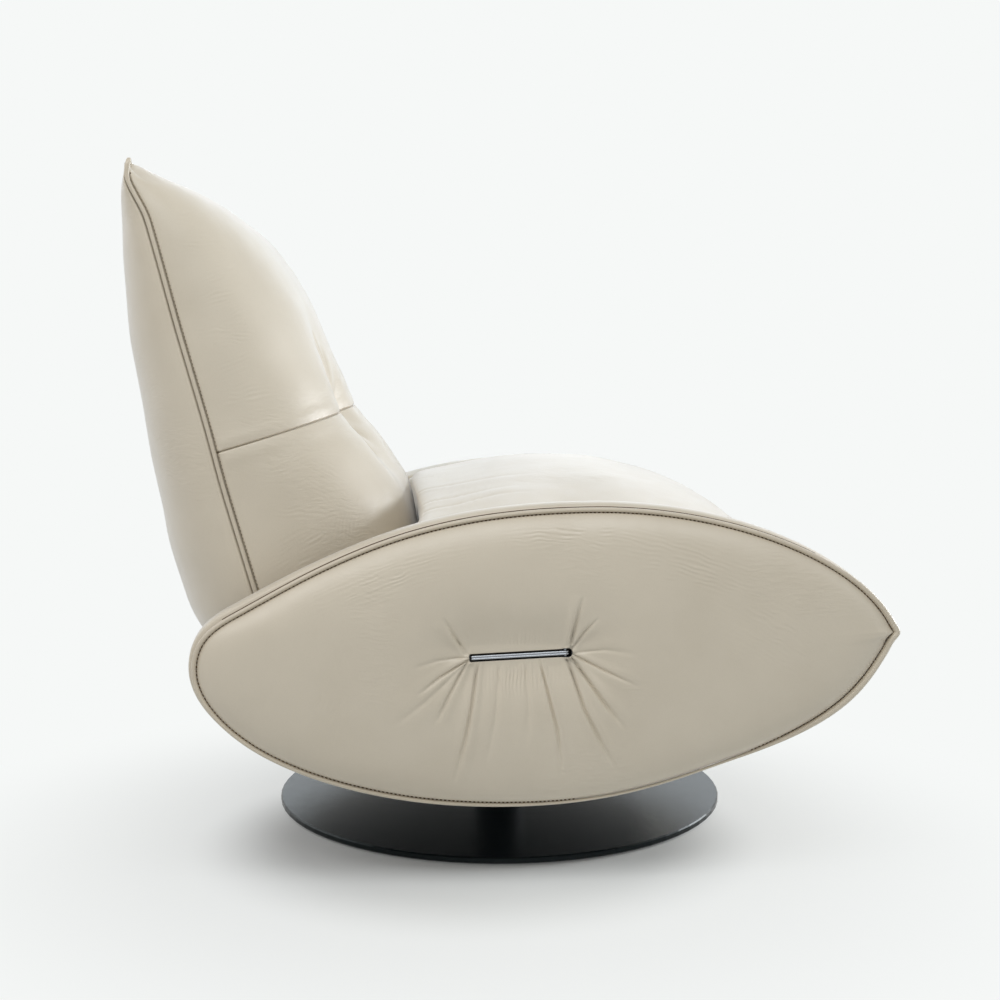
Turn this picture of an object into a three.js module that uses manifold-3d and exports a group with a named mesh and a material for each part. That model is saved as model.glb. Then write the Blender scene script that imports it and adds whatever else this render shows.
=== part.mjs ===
import * as THREE from 'three';
import { mergeVertices } from 'three/addons/utils/BufferGeometryUtils.js';
import Module from 'manifold-3d';

// Swivel rocker lounge chair: a round steel foot, a swivel, a rocking seat between two
// lens-shaped arms, a reclining back and a footrest that folds under the seat front.
// Millimetres. X points forward, Y to the sitter's left, Z up. The origin is on the floor
// under the centre of the foot.

const wasm = await Module();
wasm.setup();

const touchGap = 0.3;
const cutOverrun = 2;
const degree = Math.PI / 180;

// Foot and column
const foot = { radius: 300, thickness: 8, bevel: 1.5, padRadius: 292, padThickness: 2 };
const column = { radius: 34, wall: 6, height: 116, flangeRadius: 62, flangeThickness: 6 };
const bearing = { bore: 30, radius: 60, race: 5, glide: 3, glideInset: 4 };
const spindle = { radius: 9, headRadius: 14, headThickness: 5 };

// Rocker mechanism
const plate = { foreAft: 200, width: 190, thickness: 6 };
const rocker = {
  shaftRadius: 8,
  shaftAbovePlate: 20,
  bracketInner: 62,
  bracketThickness: 8,
  bossRadius: 16,
  footHalf: 40,
  bushWall: 3,
  bushFlange: 3.4,
  bushFlangeRadius: 14,
  cheekThickness: 8,
  collarThickness: 6,
  collarRadius: 13,
};
const spring = { radius: 17, wire: 2.6, turns: 6, offsetX: 84, offsetY: 42, steps: 8, sides: 5 };

// Heights of the stack on the foot
const footTop = foot.padThickness + foot.thickness;
const columnTop = footTop + column.height;
const glideBottom = columnTop + bearing.race;
const glideTop = glideBottom + bearing.glide;
const plateBottom = glideTop + touchGap + bearing.race;
const plateTop = plateBottom + plate.thickness;
const shaftHeight = plateTop + rocker.shaftAbovePlate;

// What the rocker shaft carries, measured up from the shaft
const above = {
  rail: 39.7,
  rear: 92.7,
  shoulder: 162.7,
  crest: 273.7,
  tip: 125.7,
  chin: -16.8,
  keel: -68.3,
  reclinePin: 124.7,
  footrestPin: 122.7,
  backFoot: 165.7,
  lever: 108.7,
  chaseTop: 118.7,
  chaseBottom: 12.7,
};

// Side outline of an arm, drawn round its welt
const side = {
  rearX: -371,
  rearZ: shaftHeight + above.rear,
  rearRise: 46,
  rearDrop: 71,
  shoulderX: -318,
  shoulderZ: shaftHeight + above.shoulder,
  shoulderAngle: 28,
  shoulderBack: 20,
  shoulderFore: 148,
  crestX: 83,
  crestZ: shaftHeight + above.crest,
  crestBack: 181,
  crestFore: 165,
  tipX: 432,
  tipZ: shaftHeight + above.tip,
  tipTopReach: 85,
  tipTopAngle: 110,
  tipLowReach: 65,
  tipLowAngle: 58,
  chinX: 248,
  chinZ: shaftHeight + above.chin,
  chinAngle: 18,
  chinFore: 148,
  chinBack: 69,
  keelX: -11,
  keelZ: shaftHeight + above.keel,
  keelFore: 127,
  keelBack: 228,
};
const outlineSteps = [13, 5, 9, 9, 7, 8];
const fineSteps = [48, 48, 48];

// Side counts of the round parts, and step counts along the curved ones
const pinSides = 16;
const roundSides = 24;
const smoothSides = 32;
const columnSides = 40;
const plateSides = 72;
const weltSides = 6;
const weltRiseSteps = 16;
const weltAcrossSteps = 12;
const shellSteps = 18;
const footrestSteps = 12;
const footrestArmSteps = 4;
const arcSteps = 12;

// Arms
const arm = {
  innerFace: 328,
  board: 15,
  boardInset: 6,
  weltPlane: 378,
  weltRadius: 5.5,
  wallInset: 3,
  shoulderInset: 11.1,
  grooveHalf: 6.1,
  crown: 28,
  crownExponent: 3,
};
const crownShares = [0.95, 0.82, 0.64, 0.46, 0.3, 0.18, 0.08];

// Seat frame
const frame = {
  railWidth: 30,
  railHeight: 40,
  railBottom: shaftHeight + above.rail,
  railRear: -250,
  railFront: 240,
  crossWidth: 30,
  crossOffset: 90,
  tubeWall: 2.5,
  sidePlate: 6,
  deckThickness: 12,
  deckRear: -235,
  deckFront: 340,
  deckSideGap: 2,
};

// Back and its hinge
const recline = {
  x: -300,
  z: shaftHeight + above.reclinePin,
  pinRadius: 7,
  shoulderRadius: 10,
  bossRadius: 20,
  bossFromAngle: 30,
  bossToAngle: 215,
  travelAngle: 25,
};
const back = {
  footX: -293,
  footZ: shaftHeight + above.backFoot,
  leanAngle: 16.4,
  height: 517,
  below: 60,
  seam: 171,
  footSideGap: 20,
  earDrawIn: 23,
  earDip: 16,
  earExponent: 4,
  frontDepth: 193,
  rearDepth: 123,
  edgeDepth: 6,
  tuft: 24,
  tuftOffset: 100,
  tuftHalf: 38,
  tuftReach: 85,
  squareExponent: 3.2,
  roundExponent: 0.52,
  board: 12,
  boardInset: 26,
  boardBelowTop: 39,
  hipSideGap: 11,
  hipTop: -6,
  weltRadius: 6,
  armThickness: 6,
  armLow: -57,
  armHigh: -8,
  armRear: -38,
  armFront: 2,
};
const backRows = 9;
const backColumns = 24;
const rearColumnStep = 3;

// Apron under the back, round the recline pin
const apron = { outer: 93, thickness: 7, sideGap: 6, fromAngle: 212, toAngle: 250 };

// Footrest
const footrest = {
  x: 398,
  z: shaftHeight + above.footrestPin,
  pinRadius: 5,
  shoulderRadius: 8,
  bossRadius: 14,
  bossFromAngle: -50,
  bossToAngle: 120,
  armFromAngle: -130,
  armToAngle: 110,
  armThickness: 6,
  armSideGap: 2,
  from: 241,
  to: 404,
  boardTo: 384,
  lift: 4,
  pad: 18,
  board: 8,
  padSideGap: 2,
  armRootShare: 0.35,
  armRootDepth: 38,
};

// Seat cushion
const seat = {
  tail: -235,
  rear: -101,
  tailLow: 24,
  tailHigh: 50,
  sideGap: 0.5,
  noseSideGap: 3,
  noseFrom: 300,
  noseTo: 336,
  noseRadius: 34,
  noseRoom: 3.5,
  tuckShare: 0.25,
};
const seatColumns = 16;

// Underside shell between the arms
const shell = { from: -333, to: 236, lift: 4, thickness: 5, slotHalfX: 45, slotHalfY: 38 };

// Recline lever in the right arm
const lever = {
  x: -2,
  z: shaftHeight + above.lever,
  proud: 14,
  dip: 14,
  dipReach: 42,
  tiltAngle: 2.5,
  overall: 117,
  height: 12.4,
  depth: 22,
  wallEnd: 2.2,
  wallSide: 1.8,
  wallBack: 4,
  barHeight: 6.4,
  barDepth: 12,
  barProud: 2,
  endGap: 0.7,
  bossRadius: 5.6,
  pinRadius: 1.8,
};

// Gas spring that holds the back, with its release cable
const gas = {
  y: -150,
  crank: 72,
  radius: 11,
  bodyLength: 140,
  rodRadius: 4,
  rodLength: 100,
  boreDepth: 86,
  bracket: 20,
  bracketHalf: 16,
  eyeRadius: 9,
  eyeThickness: 8,
  pinRadius: 3.5,
  forkThickness: 4,
  forkFromAngle: 110,
  forkToAngle: 290,
  slotDrop: 2,
};
const cable = {
  radius: 2.5,
  chaseHalf: 6,
  chaseTop: shaftHeight + above.chaseTop,
  chaseBottom: shaftHeight + above.chaseBottom,
  holeHeight: 22,
  lead: 44,
};
const cableSides = 8;
const cableSteps = 36;

// Levels and widths that follow from the sizes above
const railTop = frame.railBottom + frame.railHeight;
const deckTop = railTop + frame.deckThickness;
const bracketOuter = rocker.bracketInner + rocker.bracketThickness;
const cheekInner = bracketOuter + touchGap + rocker.bushFlange + touchGap;
const cheekOuter = cheekInner + rocker.cheekThickness;
const plateInner = arm.innerFace - frame.sidePlate;
const padInner = arm.innerFace + arm.board + touchGap;
const shellHalf = arm.innerFace - touchGap;
const deckHalf = plateInner - frame.deckSideGap;
const backFootHalf = arm.innerFace - back.footSideGap;
const hipHalf = plateInner - back.hipSideGap;
const apronHalf = hipHalf - apron.sideGap;
const boardTop = back.height - back.boardBelowTop;
const footrestArmOuter = plateInner - footrest.armSideGap;
const footrestArmInner = footrestArmOuter - footrest.armThickness;
const footrestPadHalf = arm.innerFace - footrest.padSideGap;
const seatHalf = plateInner - seat.sideGap;
const seatNoseHalf = footrestArmInner - seat.noseSideGap;
const boardDepth = arm.board + touchGap;

// Shares of the back's height and depth, chosen along its side view
const lowerFrontShares = [[-0.116, 0.72], [0, 0.98], [0.093, 1], [0.174, 0.95], [0.25, 0.88], [0.33, 0.775]];
const upperFrontShares = [
  [0.33, 0.765], [0.406, 0.76], [0.49, 0.73], [0.61, 0.7], [0.7, 0.648], [0.795, 0.558],
  [0.87, 0.446], [0.93, 0.32], [0.97, 0.17], [1, 0.02],
];
const rearShares = [
  [-0.116, 0.86], [0, 0.97], [0.12, 0.965], [0.245, 0.915], [0.37, 0.86], [0.495, 0.79],
  [0.62, 0.72], [0.735, 0.6], [0.855, 0.46], [0.935, 0.31], [0.98, 0.17], [1, 0.1],
];

// Shares of the seat's length from its rear end to the footrest pin, and of its crown height
const seatTopShares = [
  [0, 0.947], [0.15, 0.972], [0.3, 1], [0.42, 0.995], [0.59, 0.918],
  [0.7, 0.813], [0.81, 0.632], [0.925, 0.46], [1, 0.327],
];
const seatDropShares = [[0, 0.22], [0.35, 0.22], [0.7, 0.13], [0.82, 0.05], [1, 0.04]];
const noseShares = [0.4, 0.75, 0.95];
const seatCrown = 210;
const seatSideExponent = 2.4;

function finish(color, roughness, metalness) {
  return new THREE.MeshStandardMaterial({ color, roughness, metalness });
}

const finishes = {
  leather: () => finish(0xb9b0a0, 0.5, 0),
  welt: () => finish(0xada391, 0.5, 0),
  blackSteel: () => finish(0x1d2022, 0.35, 0.7),
  steel: () => finish(0x8b9095, 0.35, 0.9),
  zinc: () => finish(0xa9adb0, 0.4, 0.85),
  plywood: () => finish(0xc9a878, 0.75, 0),
  darkCloth: () => finish(0x2c2b29, 0.9, 0),
  plastic: () => finish(0x26272a, 0.55, 0),
  graphite: () => finish(0x6d7277, 0.2, 1),
  rubber: () => finish(0x151515, 0.85, 0),
};

const chair = new THREE.Group();

function place(name, geometry, material, parent = chair) {
  const mesh = new THREE.Mesh(outward(geometry), material());
  mesh.name = name;
  parent.add(mesh);
  return mesh;
}

// Closed bodies: the faces are turned outward when the enclosed volume comes out negative.
function outward(geometry) {
  const solid = bare(geometry);
  const place3 = solid.getAttribute('position');
  const index = solid.getIndex();
  const a = new THREE.Vector3();
  const b = new THREE.Vector3();
  const c = new THREE.Vector3();
  let volume = 0;
  for (let i = 0; i < index.count; i += 3) {
    a.fromBufferAttribute(place3, index.getX(i));
    b.fromBufferAttribute(place3, index.getX(i + 1));
    c.fromBufferAttribute(place3, index.getX(i + 2));
    volume += a.dot(b.cross(c));
  }
  if (volume < 0) {
    for (let i = 0; i < index.count; i += 3) {
      const first = index.getX(i);
      index.setX(i, index.getX(i + 1));
      index.setX(i + 1, first);
    }
  }
  solid.computeVertexNormals();
  return solid;
}

// Shared vertices are merged, and triangles without area are left out.
function bare(geometry) {
  const copy = geometry.clone();
  copy.deleteAttribute('normal');
  copy.deleteAttribute('uv');
  const merged = mergeVertices(copy);
  const index = merged.getIndex();
  const kept = [];
  for (let i = 0; i < index.count; i += 3) {
    const corner = [index.getX(i), index.getX(i + 1), index.getX(i + 2)];
    if (new Set(corner).size === corner.length) {
      kept.push(...corner);
    }
  }
  merged.setIndex(kept);
  return merged;
}

function toSolid(geometry) {
  const closed = outward(geometry);
  return new wasm.Manifold(new wasm.Mesh({
    numProp: 3,
    vertProperties: new Float32Array(closed.getAttribute('position').array),
    triVerts: new Uint32Array(closed.getIndex().array),
  }));
}

function fromSolid(solid) {
  const mesh = solid.getMesh();
  const geometry = new THREE.BufferGeometry();
  geometry.setAttribute('position', new THREE.BufferAttribute(new Float32Array(mesh.vertProperties), 3));
  geometry.setIndex(Array.from(mesh.triVerts));
  return geometry;
}

function cut(geometry, ...tools) {
  return fromSolid(tools.reduce((solid, tool) => solid.subtract(toSolid(tool)), toSolid(geometry)));
}

function join(geometry, ...others) {
  return fromSolid(others.reduce((solid, other) => solid.add(toSolid(other)), toSolid(geometry)));
}

// Box between two corners
function box(low, high) {
  const size = high.map((value, i) => value - low[i]);
  const geometry = new THREE.BoxGeometry(...size);
  return geometry.translate(...low.map((value, i) => value + size[i] / 2));
}

// A form drawn with its height along Y is stood up, so that its height runs along Z.
function standUp(geometry) {
  return geometry.applyMatrix4(new THREE.Matrix4().set(1, 0, 0, 0, 0, 0, -1, 0, 0, 1, 0, 0, 0, 0, 0, 1));
}

// Turned part about Z from [radius, height] pairs
function turned(pairs, segments) {
  const profile = pairs.map(([radius, height]) => new THREE.Vector2(radius, height));
  return standUp(new THREE.LatheGeometry(profile, segments));
}

function ring(inner, outer, bottom, top, segments) {
  return turned([[inner, bottom], [outer, bottom], [outer, top], [inner, top], [inner, bottom]], segments);
}

function rod(radius, bottom, top, segments) {
  return turned([[0, bottom], [radius, bottom], [radius, top], [0, top]], segments);
}

// Round bar along Y, centred on x and z
function crossRod(radius, x, z, fromY, toY, segments) {
  const geometry = new THREE.CylinderGeometry(radius, radius, toY - fromY, segments);
  return geometry.translate(x, (fromY + toY) / 2, z);
}

// Flat part drawn in X and Z, between two values of Y
function sheet(shape, fromY, toY) {
  const options = { depth: toY - fromY, bevelEnabled: false, curveSegments: arcSteps };
  return standUp(new THREE.ExtrudeGeometry(shape, options)).translate(0, toY, 0);
}

function polygon(points) {
  return new THREE.Shape(points.map(([x, z]) => new THREE.Vector2(x, z)));
}

// Body through rings of equal point count, closed by a fan at each end
function loft(rings) {
  const count = rings[0].length;
  const positions = rings.flat().flatMap((point) => point.toArray());
  const index = [];
  for (let r = 0; r + 1 < rings.length; r++) {
    for (let i = 0; i < count; i++) {
      const here = r * count + i;
      const next = r * count + ((i + 1) % count);
      index.push(here, next, next + count, here, next + count, here + count);
    }
  }
  closeEnd(positions, index, rings[0], 0, false);
  closeEnd(positions, index, rings[rings.length - 1], (rings.length - 1) * count, true);
  const geometry = new THREE.BufferGeometry();
  geometry.setAttribute('position', new THREE.Float32BufferAttribute(positions, 3));
  geometry.setIndex(index);
  return geometry;
}

function closeEnd(positions, index, points, offset, last) {
  const middle = new THREE.Vector3();
  points.forEach((point) => middle.add(point));
  middle.divideScalar(points.length);
  const hub = positions.length / 3;
  positions.push(middle.x, middle.y, middle.z);
  for (let i = 0; i < points.length; i++) {
    const here = offset + i;
    const next = offset + ((i + 1) % points.length);
    index.push(...(last ? [here, next, hub] : [next, here, hub]));
  }
}

// Round tube through points, closed on itself or with flat ends
function tube(points, radius, sides, closed) {
  const frames = carriedFrames(points, closed);
  const rings = points.map((point, i) => {
    const [across, over] = frames[i];
    return Array.from({ length: sides }, (unused, s) => {
      const angle = (2 * Math.PI * s) / sides;
      return point.clone()
        .addScaledVector(across, radius * Math.cos(angle))
        .addScaledVector(over, radius * Math.sin(angle));
    });
  });
  return closed ? loop(rings) : loft(rings);
}

function loop(rings) {
  const count = rings[0].length;
  const total = rings.length;
  const positions = rings.flat().flatMap((point) => point.toArray());
  const index = [];
  for (let r = 0; r < total; r++) {
    for (let i = 0; i < count; i++) {
      const here = r * count + i;
      const next = r * count + ((i + 1) % count);
      const after = ((r + 1) % total) * count;
      index.push(here, next, after + ((i + 1) % count), here, after + ((i + 1) % count), after + i);
    }
  }
  const geometry = new THREE.BufferGeometry();
  geometry.setAttribute('position', new THREE.Float32BufferAttribute(positions, 3));
  geometry.setIndex(index);
  return geometry;
}

// Pairs of directions square to a path, turned as little as possible from point to point
function carriedFrames(points, closed) {
  const count = points.length;
  const along = points.map((point, i) => {
    const before = closed ? points[(i + count - 1) % count] : points[Math.max(i - 1, 0)];
    const after = closed ? points[(i + 1) % count] : points[Math.min(i + 1, count - 1)];
    return after.clone().sub(before).normalize();
  });
  const seed = Math.abs(along[0].y) < 0.9 ? new THREE.Vector3(0, 1, 0) : new THREE.Vector3(1, 0, 0);
  let across = seed.clone().cross(along[0]).normalize();
  return along.map((direction) => {
    across = across.clone().addScaledVector(direction, -across.dot(direction)).normalize();
    return [across, direction.clone().cross(across)];
  });
}

// Value of a curve through [place, value] pairs, eased between the pairs
function eased(pairs, at) {
  const last = pairs.length - 1;
  const inside = Math.min(Math.max(at, pairs[0][0]), pairs[last][0]);
  let i = 0;
  while (i < last - 1 && inside > pairs[i + 1][0]) {
    i++;
  }
  const slope = (k) => {
    const low = pairs[Math.max(k - 1, 0)];
    const high = pairs[Math.min(k + 1, last)];
    return (high[1] - low[1]) / (high[0] - low[0]);
  };
  const [fromPlace, fromValue] = pairs[i];
  const [toPlace, toValue] = pairs[i + 1];
  const span = toPlace - fromPlace;
  const t = (inside - fromPlace) / span;
  const rise = toValue - fromValue;
  const lead = slope(i) * span;
  const trail = slope(i + 1) * span;
  return fromValue + t * (lead + t * (3 * rise - 2 * lead - trail + t * (lead + trail - 2 * rise)));
}

// Outline of an arm's side, counter-clockwise from its rear end along the underside
function reach(x, z, length, degrees) {
  return new THREE.Vector2(x + length * Math.cos(degrees * degree), z + length * Math.sin(degrees * degree));
}

function sideCurves() {
  const rear = new THREE.Vector2(side.rearX, side.rearZ);
  const keel = new THREE.Vector2(side.keelX, side.keelZ);
  const chin = new THREE.Vector2(side.chinX, side.chinZ);
  const tip = new THREE.Vector2(side.tipX, side.tipZ);
  const crest = new THREE.Vector2(side.crestX, side.crestZ);
  const shoulder = new THREE.Vector2(side.shoulderX, side.shoulderZ);
  const rule = (start, a, b, end) => new THREE.CubicBezierCurve(start, a, b, end);
  return {
    under: [
      rule(rear, reach(rear.x, rear.y, side.rearDrop, -90), reach(keel.x, keel.y, side.keelBack, 180), keel),
      rule(
        keel,
        reach(keel.x, keel.y, side.keelFore, 0),
        reach(chin.x, chin.y, -side.chinBack, side.chinAngle),
        chin,
      ),
      rule(
        chin,
        reach(chin.x, chin.y, side.chinFore, side.chinAngle),
        reach(tip.x, tip.y, -side.tipLowReach, side.tipLowAngle),
        tip,
      ),
    ],
    over: [
      rule(
        tip,
        reach(tip.x, tip.y, side.tipTopReach, side.tipTopAngle),
        reach(crest.x, crest.y, side.crestFore, 0),
        crest,
      ),
      rule(
        crest,
        reach(crest.x, crest.y, side.crestBack, 180),
        reach(shoulder.x, shoulder.y, side.shoulderFore, side.shoulderAngle),
        shoulder,
      ),
      rule(
        shoulder,
        reach(shoulder.x, shoulder.y, -side.shoulderBack, side.shoulderAngle),
        reach(rear.x, rear.y, side.rearRise, 90),
        rear,
      ),
    ],
  };
}

function sampled(curves, steps) {
  return curves.flatMap((curve, i) => curve.getPoints(steps[i]).slice(0, steps[i]));
}

const curves = sideCurves();
const outline = sampled([...curves.under, ...curves.over], outlineSteps);

// The outline drawn inwards by a distance, square to its edges
function insetOutline(distance) {
  const count = outline.length;
  return outline.map((point, i) => {
    const inward = inwardNormal(outline[(i + count - 1) % count], point);
    const both = inward.clone().add(inwardNormal(point, outline[(i + 1) % count])).normalize();
    return point.clone().addScaledVector(both, distance / both.dot(inward));
  });
}

function inwardNormal(from, to) {
  const along = to.clone().sub(from).normalize();
  return new THREE.Vector2(-along.y, along.x);
}

// Points along the underside between two values of x, lifted off it square to the curve
function underside(fromX, toX, lift, steps) {
  const fine = sampled(curves.under, fineSteps);
  const points = [];
  for (let i = 0; i <= steps; i++) {
    const x = fromX + ((toX - fromX) * i) / steps;
    const k = fine.findIndex((point, n) => n > 2 && point.x >= x && fine[n - 1].x <= x);
    const before = fine[k - 1];
    const after = fine[k];
    const share = (x - before.x) / (after.x - before.x);
    const along = after.clone().sub(before).normalize();
    const here = before.clone().lerp(after, share);
    points.push(new THREE.Vector2(here.x - along.y * lift, here.y + along.x * lift));
  }
  return points;
}

function undersideStrip(fromX, toX, lift, thickness, steps) {
  const outer = underside(fromX, toX, lift, steps);
  const inner = underside(fromX, toX, lift + thickness, steps);
  return new THREE.Shape([...outer, ...inner.reverse()]);
}

function bothSides(build) {
  build('right', -1);
  build('left', 1);
}

// Y range of a part that lies between two distances from the middle, on one side
function span(sign, inner, outer) {
  return sign > 0 ? [inner, outer] : [-outer, -inner];
}

function addFoot() {
  place('floor_pad', rod(foot.padRadius, 0, foot.padThickness, plateSides), finishes.rubber);
  const edge = foot.radius - foot.bevel;
  const plateProfile = [
    [0, foot.padThickness], [edge, foot.padThickness], [foot.radius, foot.padThickness + foot.bevel],
    [foot.radius, footTop - foot.bevel], [edge, footTop], [0, footTop],
  ];
  place('base_plate', turned(plateProfile, plateSides), finishes.blackSteel);
  const bore = column.radius - column.wall;
  const hole = spindle.radius + touchGap;
  const ceiling = columnTop - column.wall;
  const flangeBottom = columnTop - column.flangeThickness;
  const columnProfile = [
    [column.radius, footTop], [column.radius, flangeBottom], [column.flangeRadius, flangeBottom],
    [column.flangeRadius, columnTop], [hole, columnTop], [hole, ceiling], [bore, ceiling],
    [bore, footTop], [column.radius, footTop],
  ];
  place('pedestal_column', turned(columnProfile, columnSides), finishes.blackSteel);
}

function addSwivel() {
  const { bore, radius, race, glideInset } = bearing;
  place('bearing_lower_race', ring(bore, radius, columnTop, columnTop + race, columnSides), finishes.zinc);
  const glide = ring(bore + glideInset, radius - glideInset, glideBottom, glideTop, columnSides);
  place('glide_ring', glide, finishes.plastic);
  place('bearing_upper_race', ring(bore, radius, glideTop + touchGap, plateBottom, columnSides), finishes.zinc);
  const hole = rod(spindle.radius + touchGap, plateBottom - cutOverrun, plateTop + cutOverrun, roundSides);
  const low = [-plate.foreAft / 2, -plate.width / 2, plateBottom];
  const high = [plate.foreAft / 2, plate.width / 2, plateTop];
  place('swivel_plate', cut(box(low, high), hole), finishes.blackSteel);
  const headBottom = columnTop - column.wall - touchGap;
  const spindleProfile = [
    [0, headBottom - spindle.headThickness], [spindle.headRadius, headBottom - spindle.headThickness],
    [spindle.headRadius, headBottom], [spindle.radius, headBottom],
    [spindle.radius, plateTop + touchGap], [spindle.headRadius, plateTop + touchGap],
    [spindle.headRadius, plateTop + touchGap + spindle.headThickness],
    [0, plateTop + touchGap + spindle.headThickness],
  ];
  place('swivel_spindle', turned(spindleProfile, roundSides), finishes.zinc);
}

// Plate from a foot at one height to a boss round the rocker shaft
function bossPlate(halfWidth, footHeight, holeRadius, fromY, toY) {
  const lean = Math.sign(footHeight - shaftHeight);
  const shape = new THREE.Shape();
  shape.moveTo(halfWidth, footHeight);
  shape.lineTo(rocker.bossRadius, shaftHeight);
  shape.absarc(0, shaftHeight, rocker.bossRadius, 0, -Math.PI * lean, lean > 0);
  shape.lineTo(-halfWidth, footHeight);
  shape.closePath();
  const drill = crossRod(holeRadius, 0, shaftHeight, fromY - cutOverrun, toY + cutOverrun, roundSides);
  return cut(sheet(shape, fromY, toY), drill);
}

function addRocker() {
  const { shaftRadius, bushWall, bushFlange, bushFlangeRadius, collarThickness, collarRadius } = rocker;
  const crossInner = frame.crossOffset - frame.crossWidth / 2;
  const shaftEnd = cheekOuter + touchGap + collarThickness;
  const shaft = crossRod(shaftRadius, 0, shaftHeight, -shaftEnd, shaftEnd, roundSides);
  place('rocker_shaft', shaft, finishes.zinc);
  bothSides((name, sign) => {
    const cheekHole = shaftRadius + touchGap;
    const cheek = bossPlate(rocker.footHalf, plateTop, cheekHole, ...span(sign, cheekInner, cheekOuter));
    place(`rocker_cheek_${name}`, cheek, finishes.blackSteel);
    const bushHole = cheekHole + bushWall + touchGap;
    const bracket = bossPlate(crossInner, railTop, bushHole, ...span(sign, rocker.bracketInner, bracketOuter));
    place(`rocker_bracket_${name}`, bracket, finishes.blackSteel);
    place(`rocker_bush_${name}`, bush(sign, bushFlange, bushFlangeRadius), finishes.plastic);
    const collar = span(sign, cheekOuter + touchGap, cheekOuter + touchGap + collarThickness - touchGap);
    place(`shaft_collar_${name}`, sleeve(shaftRadius + touchGap, collarRadius, ...collar), finishes.zinc);
  });
  [['front', 1], ['rear', -1]].forEach(([end, direction]) => {
    bothSides((name, sign) => {
      const centre = [direction * spring.offsetX, sign * spring.offsetY];
      place(`rocker_spring_${end}_${name}`, coil(...centre, plateTop, frame.railBottom), finishes.zinc);
    });
  });
}

function sleeve(inner, outer, fromY, toY) {
  const body = crossRod(outer, 0, shaftHeight, fromY, toY, roundSides);
  return cut(body, crossRod(inner, 0, shaftHeight, fromY - cutOverrun, toY + cutOverrun, roundSides));
}

function bush(sign, flange, flangeRadius) {
  const bore = rocker.shaftRadius + touchGap;
  const outer = bore + rocker.bushWall;
  const rimInner = bracketOuter + touchGap;
  const along = (radius, from, to) => crossRod(radius, 0, shaftHeight, ...span(sign, from, to), roundSides);
  const body = along(outer, rocker.bracketInner, rimInner + flange);
  const rim = along(flangeRadius, rimInner, rimInner + flange);
  const drill = along(bore, rocker.bracketInner - cutOverrun, rimInner + flange + cutOverrun);
  return cut(join(body, rim), drill);
}

// Coil spring standing between two heights
function coil(x, y, bottom, top) {
  const low = bottom + touchGap + spring.wire;
  const rise = top - touchGap - spring.wire - low;
  const total = spring.turns * spring.steps;
  const points = Array.from({ length: total + 1 }, (unused, i) => {
    const angle = (2 * Math.PI * i) / spring.steps;
    return new THREE.Vector3(
      x + spring.radius * Math.cos(angle),
      y + spring.radius * Math.sin(angle),
      low + (rise * i) / total,
    );
  });
  return tube(points, spring.wire, spring.sides, false);
}

function addSeatFrame() {
  const crossHalf = plateInner - frame.railWidth;
  bothSides((name, sign) => {
    const [fromY, toY] = span(sign, crossHalf, plateInner);
    const rail = steelTube([frame.railRear, fromY, frame.railBottom], [frame.railFront, toY, railTop], 0);
    place(`frame_rail_${name}`, rail, finishes.blackSteel);
    place(`side_plate_${name}`, sidePlate(sign), finishes.blackSteel);
    const reclinePin = shoulderPin(sign, recline, hipHalf, back.armThickness);
    place(`recline_pin_${name}`, reclinePin, finishes.zinc);
    const footrestPin = shoulderPin(sign, footrest, footrestArmInner, footrest.armThickness);
    place(`footrest_pin_${name}`, footrestPin, finishes.zinc);
  });
  [['front', 1], ['rear', -1]].forEach(([end, direction]) => {
    const middle = direction * frame.crossOffset;
    const low = [middle - frame.crossWidth / 2, -crossHalf, frame.railBottom];
    const high = [middle + frame.crossWidth / 2, crossHalf, railTop];
    place(`frame_cross_${end}`, steelTube(low, high, 1), finishes.blackSteel);
  });
  const deck = box([frame.deckRear, -deckHalf, railTop], [frame.deckFront, deckHalf, deckTop]);
  place('seat_deck', deck, finishes.plywood);
}

// Rectangular steel tube between two corners, open at both ends along one axis
function steelTube(low, high, axis) {
  const inset = (value, i, direction) => value + direction * (i === axis ? -cutOverrun : frame.tubeWall);
  const innerLow = low.map((value, i) => inset(value, i, 1));
  const innerHigh = high.map((value, i) => inset(value, i, -1));
  return cut(box(low, high), box(innerLow, innerHigh));
}

// Steel plate along an arm, with a boss for the recline pin and one for the footrest pin
function sidePlate(sign) {
  const shape = new THREE.Shape();
  shape.moveTo(frame.railRear, frame.railBottom);
  shape.lineTo(frame.railFront, frame.railBottom);
  addBoss(shape, footrest);
  shape.lineTo(frame.railFront, railTop);
  shape.lineTo(frame.railRear, railTop);
  addBoss(shape, recline);
  shape.closePath();
  const [fromY, toY] = span(sign, plateInner, arm.innerFace);
  const drills = [recline, footrest].map((pivot) => crossRod(
    pivot.pinRadius + touchGap, pivot.x, pivot.z, fromY - cutOverrun, toY + cutOverrun, roundSides,
  ));
  return cut(sheet(shape, fromY, toY), ...drills);
}

function addBoss(shape, pivot) {
  const from = pivot.bossFromAngle * degree;
  shape.absarc(pivot.x, pivot.z, pivot.bossRadius, from, pivot.bossToAngle * degree, false);
}

// Pin through the side plate, with a shoulder that keeps the moving plate off it
function shoulderPin(sign, pivot, inner, moving) {
  const along = (radius, from, to) => crossRod(radius, pivot.x, pivot.z, ...span(sign, from, to), roundSides);
  const shank = along(pivot.pinRadius, inner, arm.innerFace - touchGap);
  const shoulder = along(pivot.shoulderRadius, inner + moving + touchGap, plateInner - touchGap);
  return join(shank, shoulder);
}

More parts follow.
